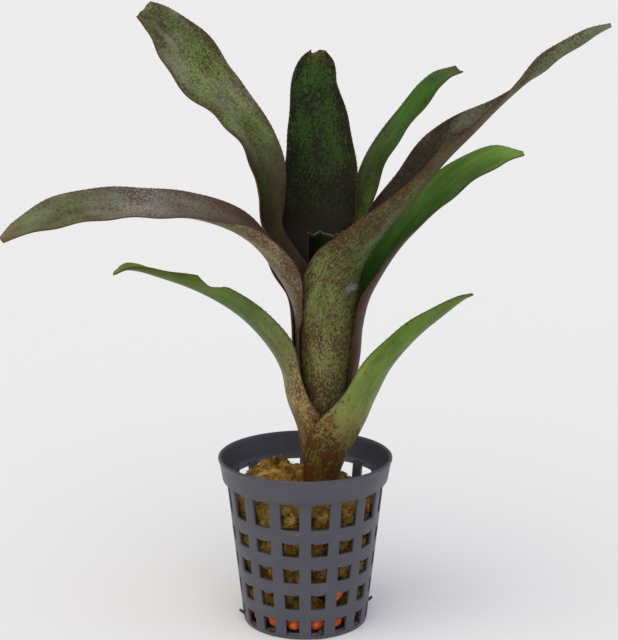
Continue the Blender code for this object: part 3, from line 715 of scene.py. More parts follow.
def pot_plastic():
    """Injection-moulded polypropylene, slate grey: satin, even, with faint flow marks and dust."""
    material, tree, shader, place = new_material("slate_grey_moulded_polypropylene")
    # flow marks of the moulding, about 12 mm wide
    flow = add(tree, NOISE, {"Vector": place, "Scale": 80.0, "Detail": 3.0})
    colour = add(tree, MIX, {0: flow, 6: srgb("#3d3d46"), 7: srgb("#505059")}, **COLOURS)
    # dried water marks and dust, in specks about 0.5 mm wide
    dust = add(tree, NOISE, {"Vector": place, "Scale": 1400.0, "Detail": 3.0, "Roughness": 0.7})
    drift = add(tree, NOISE, {"Vector": place, "Scale": 110.0, "Detail": 3.0})
    dust = add(tree, MATH, {0: drift, 1: 0.35, 2: dust}, **TIMES_PLUS)
    specks = add(tree, RANGE, {0: dust, 1: 0.82, 2: 0.95, 3: 0.0, 4: 0.5})
    # brown silt that settled on the wall
    silt = add(tree, RANGE, {0: dust, 1: 0.5, 2: 0.36, 3: 0.0, 4: 0.45})
    # the top of the lip, from 53.8 mm up, is darkened to dark brown, broken up by the dust pattern
    height = add(tree, "ShaderNodeSeparateXYZ", {"Vector": place}, "Z")
    lip = add(tree, RANGE, {0: height, 1: 0.0538, 2: 0.0549, 3: 0.0, 4: 0.6})
    lip_breakup = add(tree, RANGE, {0: dust, 1: 0.5, 2: 0.8, 3: 1.0, 4: 0.3})
    lip = add(tree, MATH, {0: lip, 1: lip_breakup}, **TIMES)
    for share, code in ((specks, "#8d8a86"), (silt, "#463a34"), (lip, "#2c2420")):
        colour = add(tree, MIX, {0: share, 6: colour, 7: srgb(code)}, **COLOURS)
    gloss = add(tree, RANGE, {0: flow, 1: 0.3, 2: 0.7, 3: 0.36, 4: 0.5})
    # fine mould texture, grain of about 0.3 mm
    grain = add(tree, NOISE, {"Vector": place, "Scale": 3000.0, "Detail": 2.0})
    relief = add(tree, BUMP, {"Height": grain, "Strength": 0.15, "Distance": 0.00008})
    plug(tree, shader, {"Base Color": colour, "Roughness": gloss, "IOR": 1.49, "Normal": relief})
    return material


def wool_mat(name, dark, mid, light):
    """Spun mineral wool stained by water: matt, golden brown, darker in its hollows, with painted
    shade on its sides and painted light on its top.
    """
    material, tree, shader, place = new_material(name)
    # stains 5 mm wide
    stain = add(tree, NOISE, {"Vector": place, "Scale": 190.0, "Detail": 5.0, "Roughness": 0.62})
    tone = add(tree, RAMP, {"Fac": stain}, stops=[(0.32, dark), (0.5, mid), (0.68, light)])
    # matted strands about 0.4 mm wide
    wander = add(tree, NOISE, {"Vector": place, "Scale": 260.0, "Detail": 3.0}, "Color")
    bent = add(tree, MIX, {0: 0.02, 4: place, 5: wander}, 1, data_type="VECTOR")
    strand = add(tree, NOISE, {"Vector": bent, "Scale": 2600.0, "Detail": 4.0, "Roughness": 0.7})
    gain = add(tree, RANGE, {0: strand, 1: 0.3, 2: 0.7, 3: 0.5, 4: 1.45})
    # painted light and shade: darker below the torn top, where the pot's wall shades the wool, and
    # lighter on the top, where the light falls
    height = add(tree, "ShaderNodeSeparateXYZ", {"Vector": place}, "Z")
    painted_shade_below_top = add(tree, RANGE, {0: height, 1: 0.040, 2: 0.046, 3: 0.62, 4: 1.15})
    gain = add(tree, MATH, {0: gain, 1: painted_shade_below_top}, **TIMES)
    plug(tree, shader, {
        "Base Color": add(tree, MIX, {0: 1.0, 6: tone, 7: gain}, **SHADE),
        "Roughness": 0.95,
        "Specular IOR Level": 0.2,
        "Normal": add(tree, BUMP, {"Height": strand, "Strength": 0.9, "Distance": 0.0006}),
    })
    return material


def fired_clay():
    """Expanded clay fired in a kiln: bright orange, matt and porous, with darker burnt spots."""
    material, tree, shader, place = new_material("fired_orange_clay")
    burn = add(tree, NOISE, {"Vector": place, "Scale": 330.0, "Detail": 5.0, "Roughness": 0.65})
    burnt = [(0.3, "#7a3414"), (0.48, "#d2581c"), (0.7, "#ee7a34")]
    tone = add(tree, RAMP, {"Fac": burn}, stops=burnt)
    # pores 0.4 mm wide
    pore = add(tree, "ShaderNodeTexVoronoi", {"Vector": place, "Scale": 1900.0})
    hole = add(tree, RANGE, {0: pore, 1: 0.05, 2: 0.32, 3: 0.35, 4: 1.0})
    plug(tree, shader, {
        "Base Color": add(tree, MIX, {0: 1.0, 6: tone, 7: hole}, **SHADE),
        "Roughness": 0.92,
        "Normal": add(tree, BUMP, {"Height": hole, "Strength": 0.8, "Distance": 0.0004}),
    })
    return material


def root_bark():
    """Dry bromeliad root: dark brown, matt, wrinkled across, with paler worn ridges."""
    material, tree, shader, place = new_material("dark_brown_root_bark")
    wear = add(tree, NOISE, {"Vector": place, "Scale": 700.0, "Detail": 5.0, "Roughness": 0.7})
    worn = [(0.3, "#2a1c14"), (0.55, "#4c3626"), (0.75, "#7a5c42")]
    plug(tree, shader, {
        "Base Color": add(tree, RAMP, {"Fac": wear}, stops=worn),
        "Roughness": 0.85,
        "Normal": add(tree, BUMP, {"Height": wear, "Strength": 0.8, "Distance": 0.0003}),
    })
    return material

# Geometry Nodes trees

def ring_tree():
    """Repeats a sector round the Z axis and welds the joints."""
    tree, given = new_tree("ring_of_sectors", Count="Int")
    wanted = {"Count": given["Count"], "Offset": (0, 0, 0)}
    points = add(tree, "GeometryNodeMeshLine", wanted)
    index = add(tree, "GeometryNodeInputIndex")
    share = add(tree, MATH, {0: index, 1: given["Count"]}, operation="DIVIDE")
    angle = add(tree, MATH, {0: share, 1: math.tau}, **TIMES)
    turn = add(tree, "ShaderNodeCombineXYZ", {"Z": angle})
    sector = given["Geometry"]
    return end_tree(tree, given, 0.02 * MM, Points=points, Instance=sector, Rotation=turn)


def spine_tree():
    """Sets a small cone at even steps on a leaf's margin lines, pointing out and forwards."""
    tree, given = new_tree("margin_spines", Spacing="Float", Length="Float", Seed="Int")
    line = add(tree, "GeometryNodeMeshToCurve", {"Mesh": given["Geometry"]})
    wanted = {"Curve": line, "Length": given["Spacing"]}
    steps = add(tree, "GeometryNodeResampleCurve", wanted, mode="LENGTH")
    foot = add(tree, MATH, {0: given["Length"], 1: 0.3}, **TIMES)
    wanted = {"Vertices": 5, "Radius Top": 0.0, "Radius Bottom": foot, "Depth": given["Length"]}
    horn = add(tree, "GeometryNodeMeshCone", wanted)
    out = add(tree, "GeometryNodeInputNamedAttribute", {"Name": "out"}, data_type="FLOAT_VECTOR")
    turn = add(tree, "FunctionNodeAlignRotationToVector", {"Vector": out}, axis="Z")
    wanted = {2: 0.55, 3: 1.15, "Seed": given["Seed"]}
    size = add(tree, "FunctionNodeRandomValue", wanted, 1, data_type="FLOAT")
    return end_tree(tree, given, Points=steps, Instance=horn, Rotation=turn, Scale=size)


def fibre_tree():
    """Scatters bent three-sided fibres over a surface, each lying nearly flat on it."""
    tree, given = new_tree(
        "wool_fibres", Density="Float", Length="Float", Radius="Float", Lift="Float", Seed="Int",
    )
    wanted = {"Mesh": given["Geometry"], "Density": given["Density"], "Seed": given["Seed"]}
    spots = add(tree, "GeometryNodeDistributePointsOnFaces", wanted, None).outputs
    wanted = {"Resolution": 3, "Radius": given["Radius"]}
    profile = add(tree, "GeometryNodeCurvePrimitiveCircle", wanted)
    half = add(tree, MATH, {0: given["Length"], 1: 0.5}, **TIMES)
    back = add(tree, MATH, {0: half, 1: -1.0}, **TIMES)
    # three bows, by how far the middle is pushed aside and lifted, and how far the end turns back
    shapes = []
    for side, lift, tail in ((0.55, 1.5, 0.0), (-0.3, 1.9, back), (0.9, 0.8, 0.0)):
        reach = add(tree, MATH, {0: half, 1: side}, **TIMES)
        rise = add(tree, MATH, {0: given["Lift"], 1: lift}, **TIMES)
        start = add(tree, "ShaderNodeCombineXYZ", {"X": back})
        middle = add(tree, "ShaderNodeCombineXYZ", {"Y": reach, "Z": rise})
        end = add(tree, "ShaderNodeCombineXYZ", {"X": half, "Y": tail})
        wanted = {"Resolution": 6, "Start": start, "Middle": middle, "End": end}
        bow = add(tree, "GeometryNodeCurveQuadraticBezier", wanted)
        wanted = {"Curve": bow, "Profile Curve": profile, "Fill Caps": True}
        strand = add(tree, "GeometryNodeCurveToMesh", wanted)
        shapes.append(add(tree, "GeometryNodeGeometryToInstance", {"Geometry": strand}))
    bows = add(tree, "GeometryNodeJoinGeometry", take=None)
    for shape in reversed(shapes):
        tree.links.new(shape, bows.inputs[0])
    wanted = {0: (-0.35, -0.35, 0.0), 1: (0.35, 0.35, math.tau), "Seed": given["Seed"]}
    spin = add(tree, "FunctionNodeRandomValue", wanted, data_type="FLOAT_VECTOR")
    wanted = {"Rotation": spots["Rotation"], "Rotate By": spin}
    turn = add(tree, "FunctionNodeRotateRotation", wanted, rotation_space="LOCAL")
    wanted = {2: 0.5, 3: 1.25, "Seed": given["Seed"]}
    size = add(tree, "FunctionNodeRandomValue", wanted, 1, data_type="FLOAT")
    copies = {"Points": spots["Points"], "Instance": bows.outputs[0], "Pick Instance": True}
    return end_tree(tree, given, **copies, Rotation=turn, Scale=size)


# Leaves

def layer_radius(layer, z):
    return max(from_table(TUBE, z) - LAYER_PITCH * (TUBE_LAYER - layer), STEM_RADIUS + 0.9)


def leaf_stations(leaf):
    """Rows of x, y, z, width, roll, wrap, slant and facing; slant 0 is a level cross section."""
    rows = []
    for z, facing, wrap in leaf["sheath"]:
        r = layer_radius(leaf["layer"], z)
        place = Vector((from_table(LEAN, z), 0, z)) + direction(facing) * r
        rows.append((*place, r * math.radians(wrap), 0, wrap, 0, facing))
    for x, y, z, facing, width, roll, wrap in leaf["blade"]:
        rows.append((x, y, z, width, roll, wrap, 1, facing))
    return rows


def through(rows, knots, t):
    """A smooth curve through all columns of the rows, at arc length t."""
    count = len(rows)
    k = 0
    while k < count - 2 and t > knots[k + 1]:
        k += 1
    step = knots[k + 1] - knots[k]
    s = (t - knots[k]) / step

    def slope(i, c):
        a = max(i - 1, 0)
        b = min(i + 1, count - 1)
        return (rows[b][c] - rows[a][c]) / (knots[b] - knots[a])

    values = []
    for c in range(len(rows[0])):
        value = (2 * s**3 - 3 * s**2 + 1) * rows[k][c] + (3 * s**2 - 2 * s**3) * rows[k + 1][c]
        value += (s**3 - 2 * s**2 + s) * step * slope(k, c) + (s**3 - s**2) * step * slope(k + 1, c)
        values.append(value)
    return values


def leaf_sections(leaf):
    """Each cross section's arc length and row from edge to edge, and the leaf's length.

    A row holds a point, its normal, its place across in mm, its share u of the half width from
    -1 to 1, the direction out over the edge and the direction along the leaf.
    """
    rows = leaf_stations(leaf)
    knots = [0.0]
    for a, b in zip(rows, rows[1:]):
        knots.append(knots[-1] + (Vector(b[:3]) - Vector(a[:3])).length)
    length = knots[-1]
    count = int(length * ROWS_PER_MM)
    times = [length * i / (count - 1) for i in range(count)]
    samples = [through(rows, knots, t) for t in times]
    sections = []
    for i, values in enumerate(samples):
        before = Vector(samples[max(i - 1, 0)][:3])
        after = Vector(samples[min(i + 1, count - 1)][:3])
        place = Vector(values[:3])
        width, roll, wrap, slant, facing = values[3:]
        slant = min(max(slant, 0.0), 1.0)
        width = max(width, MIN_WIDTH)
        bend = math.radians(max(wrap, MIN_WRAP))
        forward = (after - before).normalized()
        ahead = (UP * (1 - slant) + forward * slant).normalized()
        side = UP.cross(direction(facing))
        side = (side - ahead * side.dot(ahead)).normalized()
        inner = ahead.cross(side)
        turn = Matrix.Rotation(math.radians(roll), 3, ahead)
        side = turn @ side
        inner = turn @ inner
        curl = width / bend
        flutter = leaf["wave"] * slant * min(1.0, (length - times[i]) / WAVE_FADE)
        row = []
        for j in range(LEAF_ACROSS + 1):
            u = math.sin(math.pi / 2 * (2.0 * j / LEAF_ACROSS - 1.0))
            reach = u
            for edge, share, half, deep in leaf.get("nicks", []):
                near = max(0.0, 1.0 - abs(times[i] - share * length) / half)
                if u * edge > 0:
                    reach *= 1.0 - deep * abs(u) * near ** 0.7
            turned = reach * bend / 2
            point = place + side * curl * math.sin(turned) + inner * curl * (1 - math.cos(turned))
            normal = inner * math.cos(turned) - side * math.sin(turned)
            outward = side * math.cos(turned) + inner * math.sin(turned)
            phase = math.tau * times[i] / WAVE_LENGTH + (WAVE_SHIFT if u > 0 else 0.0)
            point += normal * flutter * abs(u) ** 3 * math.sin(phase)
            row.append((point, normal, reach * width / 2, u, outward, forward))
        sections.append((times[i], row))
    if "fray" in leaf:
        sections = frayed(sections, length, leaf)
    return sections, length


def frayed(sections, length, leaf):
    """Draws the end of the leaf back in a ragged line, deeper where a notch is asked for."""
    depth, grit = leaf["fray"]
    last = len(sections) - 1
    result = []
    for t, row in sections:
        drawn = []
        for j, (point, normal, across, u, outward, forward) in enumerate(row):
            tear = noise.noise(Vector((across * grit, 3.1, length)))
            bite = depth * max(0.0, 0.5 + 1.2 * tear)
            for centre, half, deep in leaf.get("notch", []):
                bite += deep * max(0.0, 1.0 - abs(u - centre) / half)
            back = (t - bite * ease(length - 3.0 * depth - 8.0, length, t)) / length * last
            k = min(int(back), last - 1)
            near, far = sections[k][1][j], sections[k + 1][1][j]
            point, normal = [near[c].lerp(far[c], back - k) for c in (0, 1)]
            drawn.append((point, normal, across, u, outward, forward))
        result.append((t, drawn))
    return result


def make_leaf(name, leaf, spines, horn, seed):
    """A closed lofted skin with thin rounded margins, and its row of spines."""
    sections, length = leaf_sections(leaf)
    shape = bmesh.new()
    uv_layer = shape.loops.layers.uv.new("leaf_mm")
    layers = [shape.verts.layers.float.new(key) for key in ("upper", "along", "margin")]
    place_of = {}
    rings = []
    for t, row in sections:
        order = [(p, 1.0) for p in row] + [(row[-1], 0.5)]
        order += [(p, 0.0) for p in reversed(row)] + [(row[0], 0.5)]
        ring = []
        for (point, normal, across, u, outward, _), face in order:
            half = LEAF_THICKNESS / 2 * (1.0 - MARGIN_THINNING * abs(u) ** 6)
            shift = normal * half * (2 * face - 1)
            if face == 0.5:
                shift = outward * (MARGIN_BULGE if u > 0 else -MARGIN_BULGE)
            vertex = shape.verts.new((point + shift) * MM)
            for layer, value in zip(layers, (face, t / length, abs(u))):
                vertex[layer] = value
            place_of[vertex] = (across, t)
            ring.append(vertex)
        rings.append(ring)
    for a, b in zip(rings, rings[1:]):
        join_rings(shape, a, b)
    count = len(rings[0])
    for ring in (rings[0], rings[-1]):
        for j in range(LEAF_ACROSS):
            shape.faces.new((ring[j], ring[j + 1], ring[count - 3 - j], ring[count - 2 - j]))
        shape.faces.new((ring[0], ring[count - 2], ring[count - 1]))
        shape.faces.new(ring[LEAF_ACROSS:LEAF_ACROSS + 3])
    face_out(shape)
    for face in shape.faces:
        for loop in face.loops:
            loop[uv_layer].uv = place_of[loop.vert]
    mesh = to_mesh(shape, name)
    place_piece(name + "_skin", mesh, leaf_skin(name + "_cuticle", leaf), [name])

    # margin lines for the spines, just inside the rounded margins
    points = []
    outs = []
    edges = []
    low, high = [share * length for share in SPINE_SPAN]
    for side in (0, -1):
        line = [row[side] for t, row in sections if low < t < high]
        for k, (point, _, _, u, outward, forward) in enumerate(line):
            if k:
                edges.append((len(points) - 1, len(points)))
            points.append((point + outward * (0.1 if u > 0 else -0.1)) * MM)
            outs.append((outward if u > 0 else -outward) + forward * 0.8)
    guide = bpy.data.meshes.new(name + "_margin")
    guide.from_pydata(points, edges, [])
    out = guide.attributes.new("out", "FLOAT_VECTOR", "POINT")
    for item, value in zip(out.data, outs):
        item.vector = value
    values = {
        "Spacing": SPINE_SPACING * MM,
        "Length": SPINE_LENGTH * MM,
        "Seed": seed,
        "Material": horn,
    }
    thorns = run_tree(guide, spines, values, name + "_spines")
    place_piece(name + "_spines", thorns, None, angle=40)


# Net pot

def wall_radius(z):
    return BASE_RADIUS + (WALL_TOP_RADIUS - BASE_RADIUS) * z / BAND_FOOT


def pot_sector():
    """One column of the wall, a window wide and a rib wide, as an open skin on the outer surface."""
    step = math.tau / COLUMNS
    # height, and share of the sag that the edge of a window has there
    levels = [(WINDOW_ROWS[0][0], 0.0)]
    for top, foot in WINDOW_ROWS:
        if top < WINDOW_ROWS[0][0]:
            levels.append((top, 1.0))
        levels += [((top + foot) / 2, 0.0), (foot, 0.0)]
    levels.append((WALL_FOOT, 0.0))
    shape = bmesh.new()
    rings = []
    for z, sags in levels:
        half_window = math.pi / COLUMNS - RIB_WIDTH / 2 / wall_radius(z)
        stops = [half_window * k / 3 for k in range(-3, 4)]
        stops = [-step / 2, -(step / 2 + half_window) / 2, *stops]
        stops += [(step / 2 + half_window) / 2, step / 2]
        ring = []
        for angle in stops:
            inside = max(0.0, 1.0 - (angle / half_window) ** 2)
            height = z - sags * WINDOW_SAG * inside
            heading = direction_of(angle + step / 2)
            ring.append(shape.verts.new((heading * wall_radius(height) + UP * height) * MM))
        rings.append(ring)
    for (z, _), a, b in zip(levels, rings, rings[1:]):
        in_window = any(foot < z <= top + 0.01 for top, foot in WINDOW_ROWS)
        join_rows(shape, a, b, range(2, 8) if in_window else ())
    return to_mesh(shape, "pot_sector")


def floor_sector():
    """An eighth of the pot's floor with one drain slot, as an open skin on its upper face."""
    step = math.tau / DRAINS
    shape = bmesh.new()
    centre = shape.verts.new((0, 0, FLOOR * MM))
    rings = []
    for r in (*DRAIN_RADII, wall_radius(FLOOR) - 0.4):
        slot = DRAIN_HALF_WIDTH / r
        beside = (step / 2 + slot) / 2
        stops = [-step / 2, -beside, -slot, 0.0, slot, beside, step / 2]
        rings.append([shape.verts.new((direction_of(a) * r + UP * FLOOR) * MM) for a in stops])
    for a, b in zip(rings[0], rings[0][1:]):
        shape.faces.new((centre, a, b))
    for i, (a, b) in enumerate(zip(rings, rings[1:])):
        join_rows(shape, a, b, (2, 3) if i < 2 else ())
    return to_mesh(shape, "floor_sector")


def lathe_mesh(name, profile):
    """The closed ring that a profile of (radius, height) gives when turned about the Z axis."""
    mesh = bpy.data.meshes.new(name)
    edges = [(i, (i + 1) % len(profile)) for i in range(len(profile))]
    mesh.from_pydata([(r * MM, 0, z * MM) for r, z in profile], edges, [])
    item = loose_object(name, mesh)
    screw = item.modifiers.new("turn", "SCREW")
    screw.angle = math.tau
    screw.steps = screw.render_steps = LATHE_STEPS
    screw.use_merge_vertices = True
    screw.merge_threshold = 0.00001
    return final_mesh(item, name)


def make_pot():
    """The moulded pot: wall, floor, rim band and foot ring, joined in one mesh."""
    plastic = pot_plastic()
    tree = ring_tree()
    shells = []
    for sector, repeat, thickness in (
        (pot_sector(), COLUMNS, WALL),
        (floor_sector(), DRAINS, FLOOR),
    ):
        skin = run_tree(sector, tree, {"Count": repeat, "Material": plastic}, "pot_shell")
        item = loose_object("pot_shell", skin)
        solid = item.modifiers.new("wall", "SOLIDIFY")
        solid.thickness = thickness * MM
        solid.offset = -1.0
        solid.use_even_offset = True
        bevel = item.modifiers.new("edges", "BEVEL")
        bevel.width = EDGE_BEVEL * MM
        bevel.segments = 2
        bevel.limit_method = "ANGLE"
        bevel.angle_limit = math.radians(50)
        shells.append(final_mesh(item, "pot_shell"))
    band = [
        (wall_radius(46.2) - WALL, 46.3), (25.35, 47.2), (25.7, 48.4), (26.7, 53.4),
        (26.85, 54.3), (27.05, 54.75), (27.4, POT_HEIGHT), (27.7, 54.96), (27.93, 54.75),
        (RIM_RADIUS, 54.45), (27.96, 54.1), (27.8, 53.8), (27.62, 53.5), (27.55, 53.2),
        (26.6, 47.8), (BAND_FOOT_RADIUS, 47.5), (26.15, BAND_FOOT), (25.6, BAND_FOOT),
        (25.5, 47.2), (25.45, 46.8), (wall_radius(46.3) + 0.02, 46.4),
    ]
    foot = [
        (wall_radius(0) - WALL, FLOOR + 0.6),
        (BASE_RADIUS + 0.02, 0.9),
        (BASE_RADIUS + 0.02, 0.35),
        (BASE_RADIUS - 0.1, 0.1),
        (BASE_RADIUS - 0.35, 0.0),
        (BASE_RADIUS - 2.0, 0.0),
        (BASE_RADIUS - 2.0, FLOOR * 0.8),
    ]
    shells += [lathe_mesh("pot_band", band), lathe_mesh("pot_foot", foot)]
    joined = bmesh.new()
    for shell in shells:
        joined.from_mesh(shell)
    mesh = to_mesh(joined, "net_pot_moulding")
    place_piece("net_pot_moulding", mesh, plastic, ["net_pot"], 38)


# Mineral wool

def wool_top(x, y):
    """Height of the torn top: a tall wad at the left, low at the right, lumpy everywhere."""
    lump = noise.fractal(Vector((x / 9.0, y / 9.0, 4.2)), 0.9, 2.1, 3)
    away = ((x - WAD_PLACE[0]) / WAD_SIZE[0]) ** 2 + ((y - WAD_PLACE[1]) / WAD_SIZE[1]) ** 2
    slope = -0.05 * x if x > 0 else 0.0
    return WOOL_TOP + WAD_HEIGHT * math.exp(-away) + slope + WOOL_LUMP * lump


def torn(x, y, z):
    """Depth in mm of the tears between matted clumps, about 4 mm apart, and of finer ones."""
    clump = abs(noise.noise(Vector((x / 4.0, y / 4.0, z / 4.0))))
    strand = abs(noise.noise(Vector((x / 1.4, y / 1.4, z / 1.4 + 7.0))))
    return 1.7 * max(0.0, 0.28 - clump) / 0.28 + 0.7 * max(0.0, 0.2 - strand) / 0.2


def make_tuft(shape, angle, height, size):
    """A loose lump of wool that stands out of a window."""
    blob = bmesh.new()
    bmesh.ops.create_icosphere(blob, subdivisions=4, radius=1.0)
    for vertex in blob.verts:
        rough = noise.fractal(vertex.co * 2.4 + Vector((angle, 0, 0)), 0.8, 2.1, 4)
        vertex.co *= 0.95 + 0.22 * rough
    spot = direction(angle) * (wall_radius(height) - TUFT_REACH / 2) + UP * height
    place = Matrix.Translation(spot * MM) @ Matrix.Rotation(math.radians(angle), 4, "Z")
    blob.transform(place @ Matrix.Diagonal((TUFT_REACH * MM, size * MM, size * 0.8 * MM, 1)))
    shape.from_mesh(to_mesh(blob, "tuft"))


def wool_ring(heading):
    """The wad's outline in one direction: torn top, outer side, foot, and hole for the neck.

    The top sinks a little where it meets the pot's wall and the neck.
    """
    axis = Vector((NECK_X, 0, 0))
    inner = axis + heading * NECK_HOLE
    neck = axis + heading * ROOT_HOLE
    rim = heading * (wall_radius(WOOL_TOP) - WALL - 0.5)
    ring = []
    for i in range(WOOL_ACROSS + 1):
        s = i / WOOL_ACROSS
        point = inner.lerp(rim, s)
        z = wool_top(point.x, point.y) + 0.9 - torn(point.x, point.y, 0.0)
        z -= 1.2 * ease(0.9, 1.0, s) + 1.6 * ease(0.12, 0.0, s)
        ring.append(Vector((point.x, point.y, z)))
    top = ring[-1].z
    for i in range(1, WOOL_ACROSS + 1):
        z = top + (WOOL_SKIRT - top) * i / WOOL_ACROSS
        r = wall_radius(z) - WALL - WOOL_GAP
        side = heading * r
        ring.append(heading * (r - 1.1 * torn(side.x, side.y, z)) + UP * z)
    for s in (1.0, 0.75, 0.45, 0.2, 0.0):
        ring.append(neck.lerp(heading * WOOL_FOOT_RADIUS, s) + UP * WOOL_FOOT)
    return ring + [neck + UP * 24, neck + UP * (NECK_HOLE_FOOT - 1), inner + UP * NECK_HOLE_FOOT]


def make_wool():
    """A torn closed wad with a hole for the plant's neck, and loose fibres all over it."""
    body_mat = wool_mat("golden_mineral_wool", "#2e200c", "#9a7630", "#d8b25c")
    fibre_mat = wool_mat("pale_mineral_wool_fibre", "#6c5424", "#b48e44", "#e6c880")
    shape = bmesh.new()
    rings = []
    for k in range(WOOL_AROUND):
        ring = wool_ring(direction_of(math.tau * k / WOOL_AROUND))
        rings.append([shape.verts.new(p * MM) for p in ring])
    for a, b in zip(rings, rings[1:] + rings[:1]):
        join_rings(shape, a, b)
    for tuft in TUFTS:
        make_tuft(shape, *tuft)
    # the high pebble sits in a pocket of the wool
    angle, _, height, _ = LOOSE_PEBBLES[-1]
    outward = direction(angle)
    spot = (outward * POCKET_DISTANCE + UP * height) * MM
    reach = POCKET_RADIUS * MM
    for vertex in shape.verts:
        away = vertex.co - spot
        if away.length < reach:
            beside = away - outward * away.dot(outward)
            vertex.co = spot + beside - outward * math.sqrt(reach**2 - beside.length_squared)
    face_out(shape)
    mesh = to_mesh(shape, "mineral_wool_wad")
    place_piece("mineral_wool_wad", mesh, body_mat, ["mineral_wool"])

    values = {
        "Density": FIBRE_DENSITY,
        "Length": FIBRE_LENGTH * MM,
        "Radius": FIBRE_RADIUS * MM,
        "Lift": FIBRE_LIFT * MM,
        "Seed": FIBRE_SEED,
        "Material": fibre_mat,
    }
    hair = run_tree(mesh.copy(), fibre_tree(), values, "mineral_wool_fibres")
    clip_fibres(hair)
    place_piece("mineral_wool_fibres", hair, None)


def clip_fibres(mesh):
    """Keeps the fibres inside the pot's wall, except where a tuft stands out of a window."""
    for vertex in mesh.vertices:
        x, y, z = vertex.co / MM
        limit = wall_radius(min(z, 47.0)) - WALL - 0.12
        r = math.hypot(x, y)
        heading = math.degrees(math.atan2(y, x)) % 360
        if any(abs(heading - angle) < 7 and abs(z - height) < 3 for angle, height, _ in TUFTS):
            continue
        if r > limit:
            vertex.co.x *= limit / r
            vertex.co.y *= limit / r
        if z < WOOL_SKIRT:
            vertex.co.z = WOOL_SKIRT * MM


# Clay pebbles

def make_pebbles():
    """Uneven balls of fired clay, one on each CAD pebble."""
    clay = fired_clay()
    height = FLOOR + PEBBLE_LIFT + RING_RADIUS
    places = [
        (360.0 * (i + 0.5) / RING_PEBBLES, RING_DISTANCE, height, RING_RADIUS)
        for i in range(RING_PEBBLES) if i not in RING_EMPTY
    ]
    for i, (angle, distance, height, radius) in enumerate(places + LOOSE_PEBBLES, 1):
        rng = random.Random(i)
        shape = bmesh.new()
        bmesh.ops.create_icosphere(shape, subdivisions=5, radius=1.0)
        offset = Vector((i * 3.7, i * 1.9, i * 5.3))
        for vertex in shape.verts:
            bump = noise.noise(vertex.co * 1.3 + offset)
            grit = noise.fractal(vertex.co * 5.0 + offset, 0.9, 2.1, 4)
            vertex.co *= 1.0 + 0.08 * bump + 0.02 * grit
        stretch = [rng.uniform(0.93, 1.03) for _ in range(3)]
        turn = Matrix.Rotation(rng.uniform(0, math.tau), 4, "Z")
        place = Matrix.Translation((direction(angle) * distance + UP * height) * MM) @ turn
        shape.transform(place @ Matrix.Diagonal((*[radius * MM * s for s in stretch], 1)))
        mesh = to_mesh(shape, "clay")
        place_piece(f"clay_ball_{i:02d}", mesh, clay, [f"clay_pebble_{i:02d}"])


# Stem and roots

def bar(name, path, radii, sides):
    """A bent round bar through the points of a path, with its ends closed."""
    curve = bpy.data.curves.new(name, "CURVE")
    curve.dimensions = "3D"
    curve.bevel_depth = MM
    curve.bevel_resolution = sides // 2 - 2
    curve.resolution_u = 10
    curve.use_fill_caps = True
    spline = curve.splines.new("NURBS")
    spline.points.add(len(path) - 1)
    spline.use_endpoint_u = True
    spline.order_u = 3
    for point, place, radius in zip(spline.points, path, radii):
        point.co = (*[c * MM for c in place], 1.0)
        point.radius = radius
    return final_mesh(loose_object(name, curve), name)


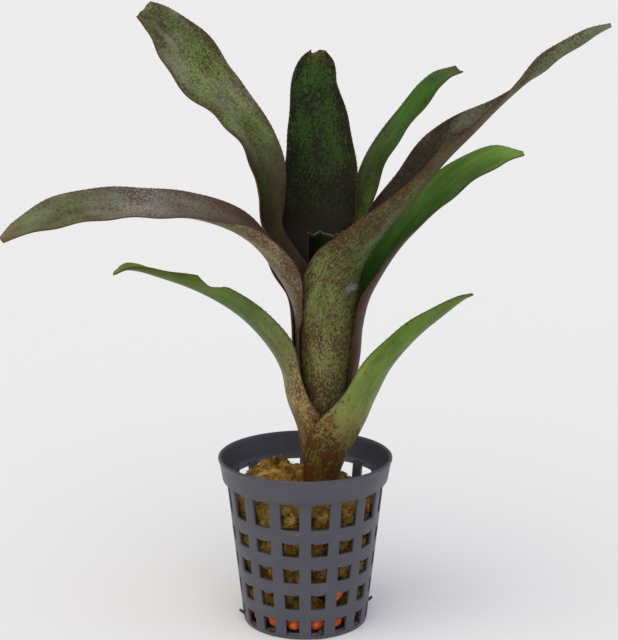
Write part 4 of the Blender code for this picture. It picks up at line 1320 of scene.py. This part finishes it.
def make_roots():
    """The short stem and its roots, with wrinkled bark."""
    joined = bmesh.new()
    joined.from_mesh(bar("stem", STEM_PATH, [STEM_RADIUS] * 4 + [STEM_RADIUS * 0.75], 20))
    for path in ROOT_PATHS:
        swell = [1.6, 1.2] + [1.0] * (len(path) - 3) + [0.6]
        joined.from_mesh(bar("root", path, [ROOT_RADIUS * s for s in swell], 12))
    bmesh.ops.remove_doubles(joined, verts=joined.verts, dist=0.000001)
    face_out(joined)
    for vertex in joined.verts:
        wrinkle = noise.noise(vertex.co / (1.6 * MM))
        vertex.co += vertex.normal * wrinkle * 0.08 * MM
    mesh = to_mesh(joined, "stem_and_roots")
    place_piece("stem_and_roots_bark", mesh, root_bark(), ["stem_with_roots"])


# Studio

def paper():
    """Matt white paper: a plain pale floor with no shine and a faint grain."""
    material, tree, shader, place = new_material("matt_white_paper")
    tone = add(tree, NOISE, {"Vector": place, "Scale": 900.0, "Detail": 2.0})
    colour = add(tree, MIX, {0: tone, 6: srgb("#efefef"), 7: srgb("#f2f2f2")}, **COLOURS)
    plug(tree, shader, {"Base Color": colour, "Roughness": 0.95, "Specular IOR Level": 0.0})
    return material


def make_studio():
    """Camera, plain soft light and a plain pale floor."""
    camera = bpy.data.cameras.new("camera")
    camera.sensor_width = 36.0
    camera.lens = CAMERA_LENS
    camera.clip_start = 0.01
    camera.clip_end = 100.0
    view = loose_object("camera", camera)
    view.location = CAMERA_PLACE
    view.rotation_euler = (math.radians(90.0 - CAMERA_PITCH), 0, 0)
    scene = bpy.context.scene
    scene.camera = view
    scene.view_settings.view_transform = "Standard"
    scene.world = bpy.data.worlds.new("soft_studio")
    scene.world.use_nodes = True
    sky = scene.world.node_tree
    plug(sky, sky.nodes["Background"], {"Color": srgb("#f8f8f8"), "Strength": 0.55})

    for name, energy, angle, pitch, heading, colour in (
        ("key", 1.68, 80, 38, -30, "#fff8ee"),
        ("fill", 0.6, 90, 62, 62, "#9cb8ff"),
    ):
        lamp = bpy.data.lights.new(name, "SUN")
        lamp.energy = energy
        lamp.angle = math.radians(angle)
        lamp.color = srgb(colour)[:3]
        item = loose_object(name, lamp)
        item.rotation_euler = (math.radians(pitch), 0, math.radians(heading))

    shape = bmesh.new()
    bmesh.ops.create_circle(shape, cap_ends=True, segments=64, radius=40.0)
    mesh = to_mesh(shape, "floor")
    mesh.materials.append(paper())
    loose_object("floor", mesh)


def main():
    make_studio()
    make_pot()
    make_wool()
    make_pebbles()
    make_roots()
    spines = spine_tree()
    horn = spine_horn()
    for i, (name, leaf) in enumerate(LEAVES.items()):
        make_leaf(name, leaf, spines, horn, i + 1)


main()
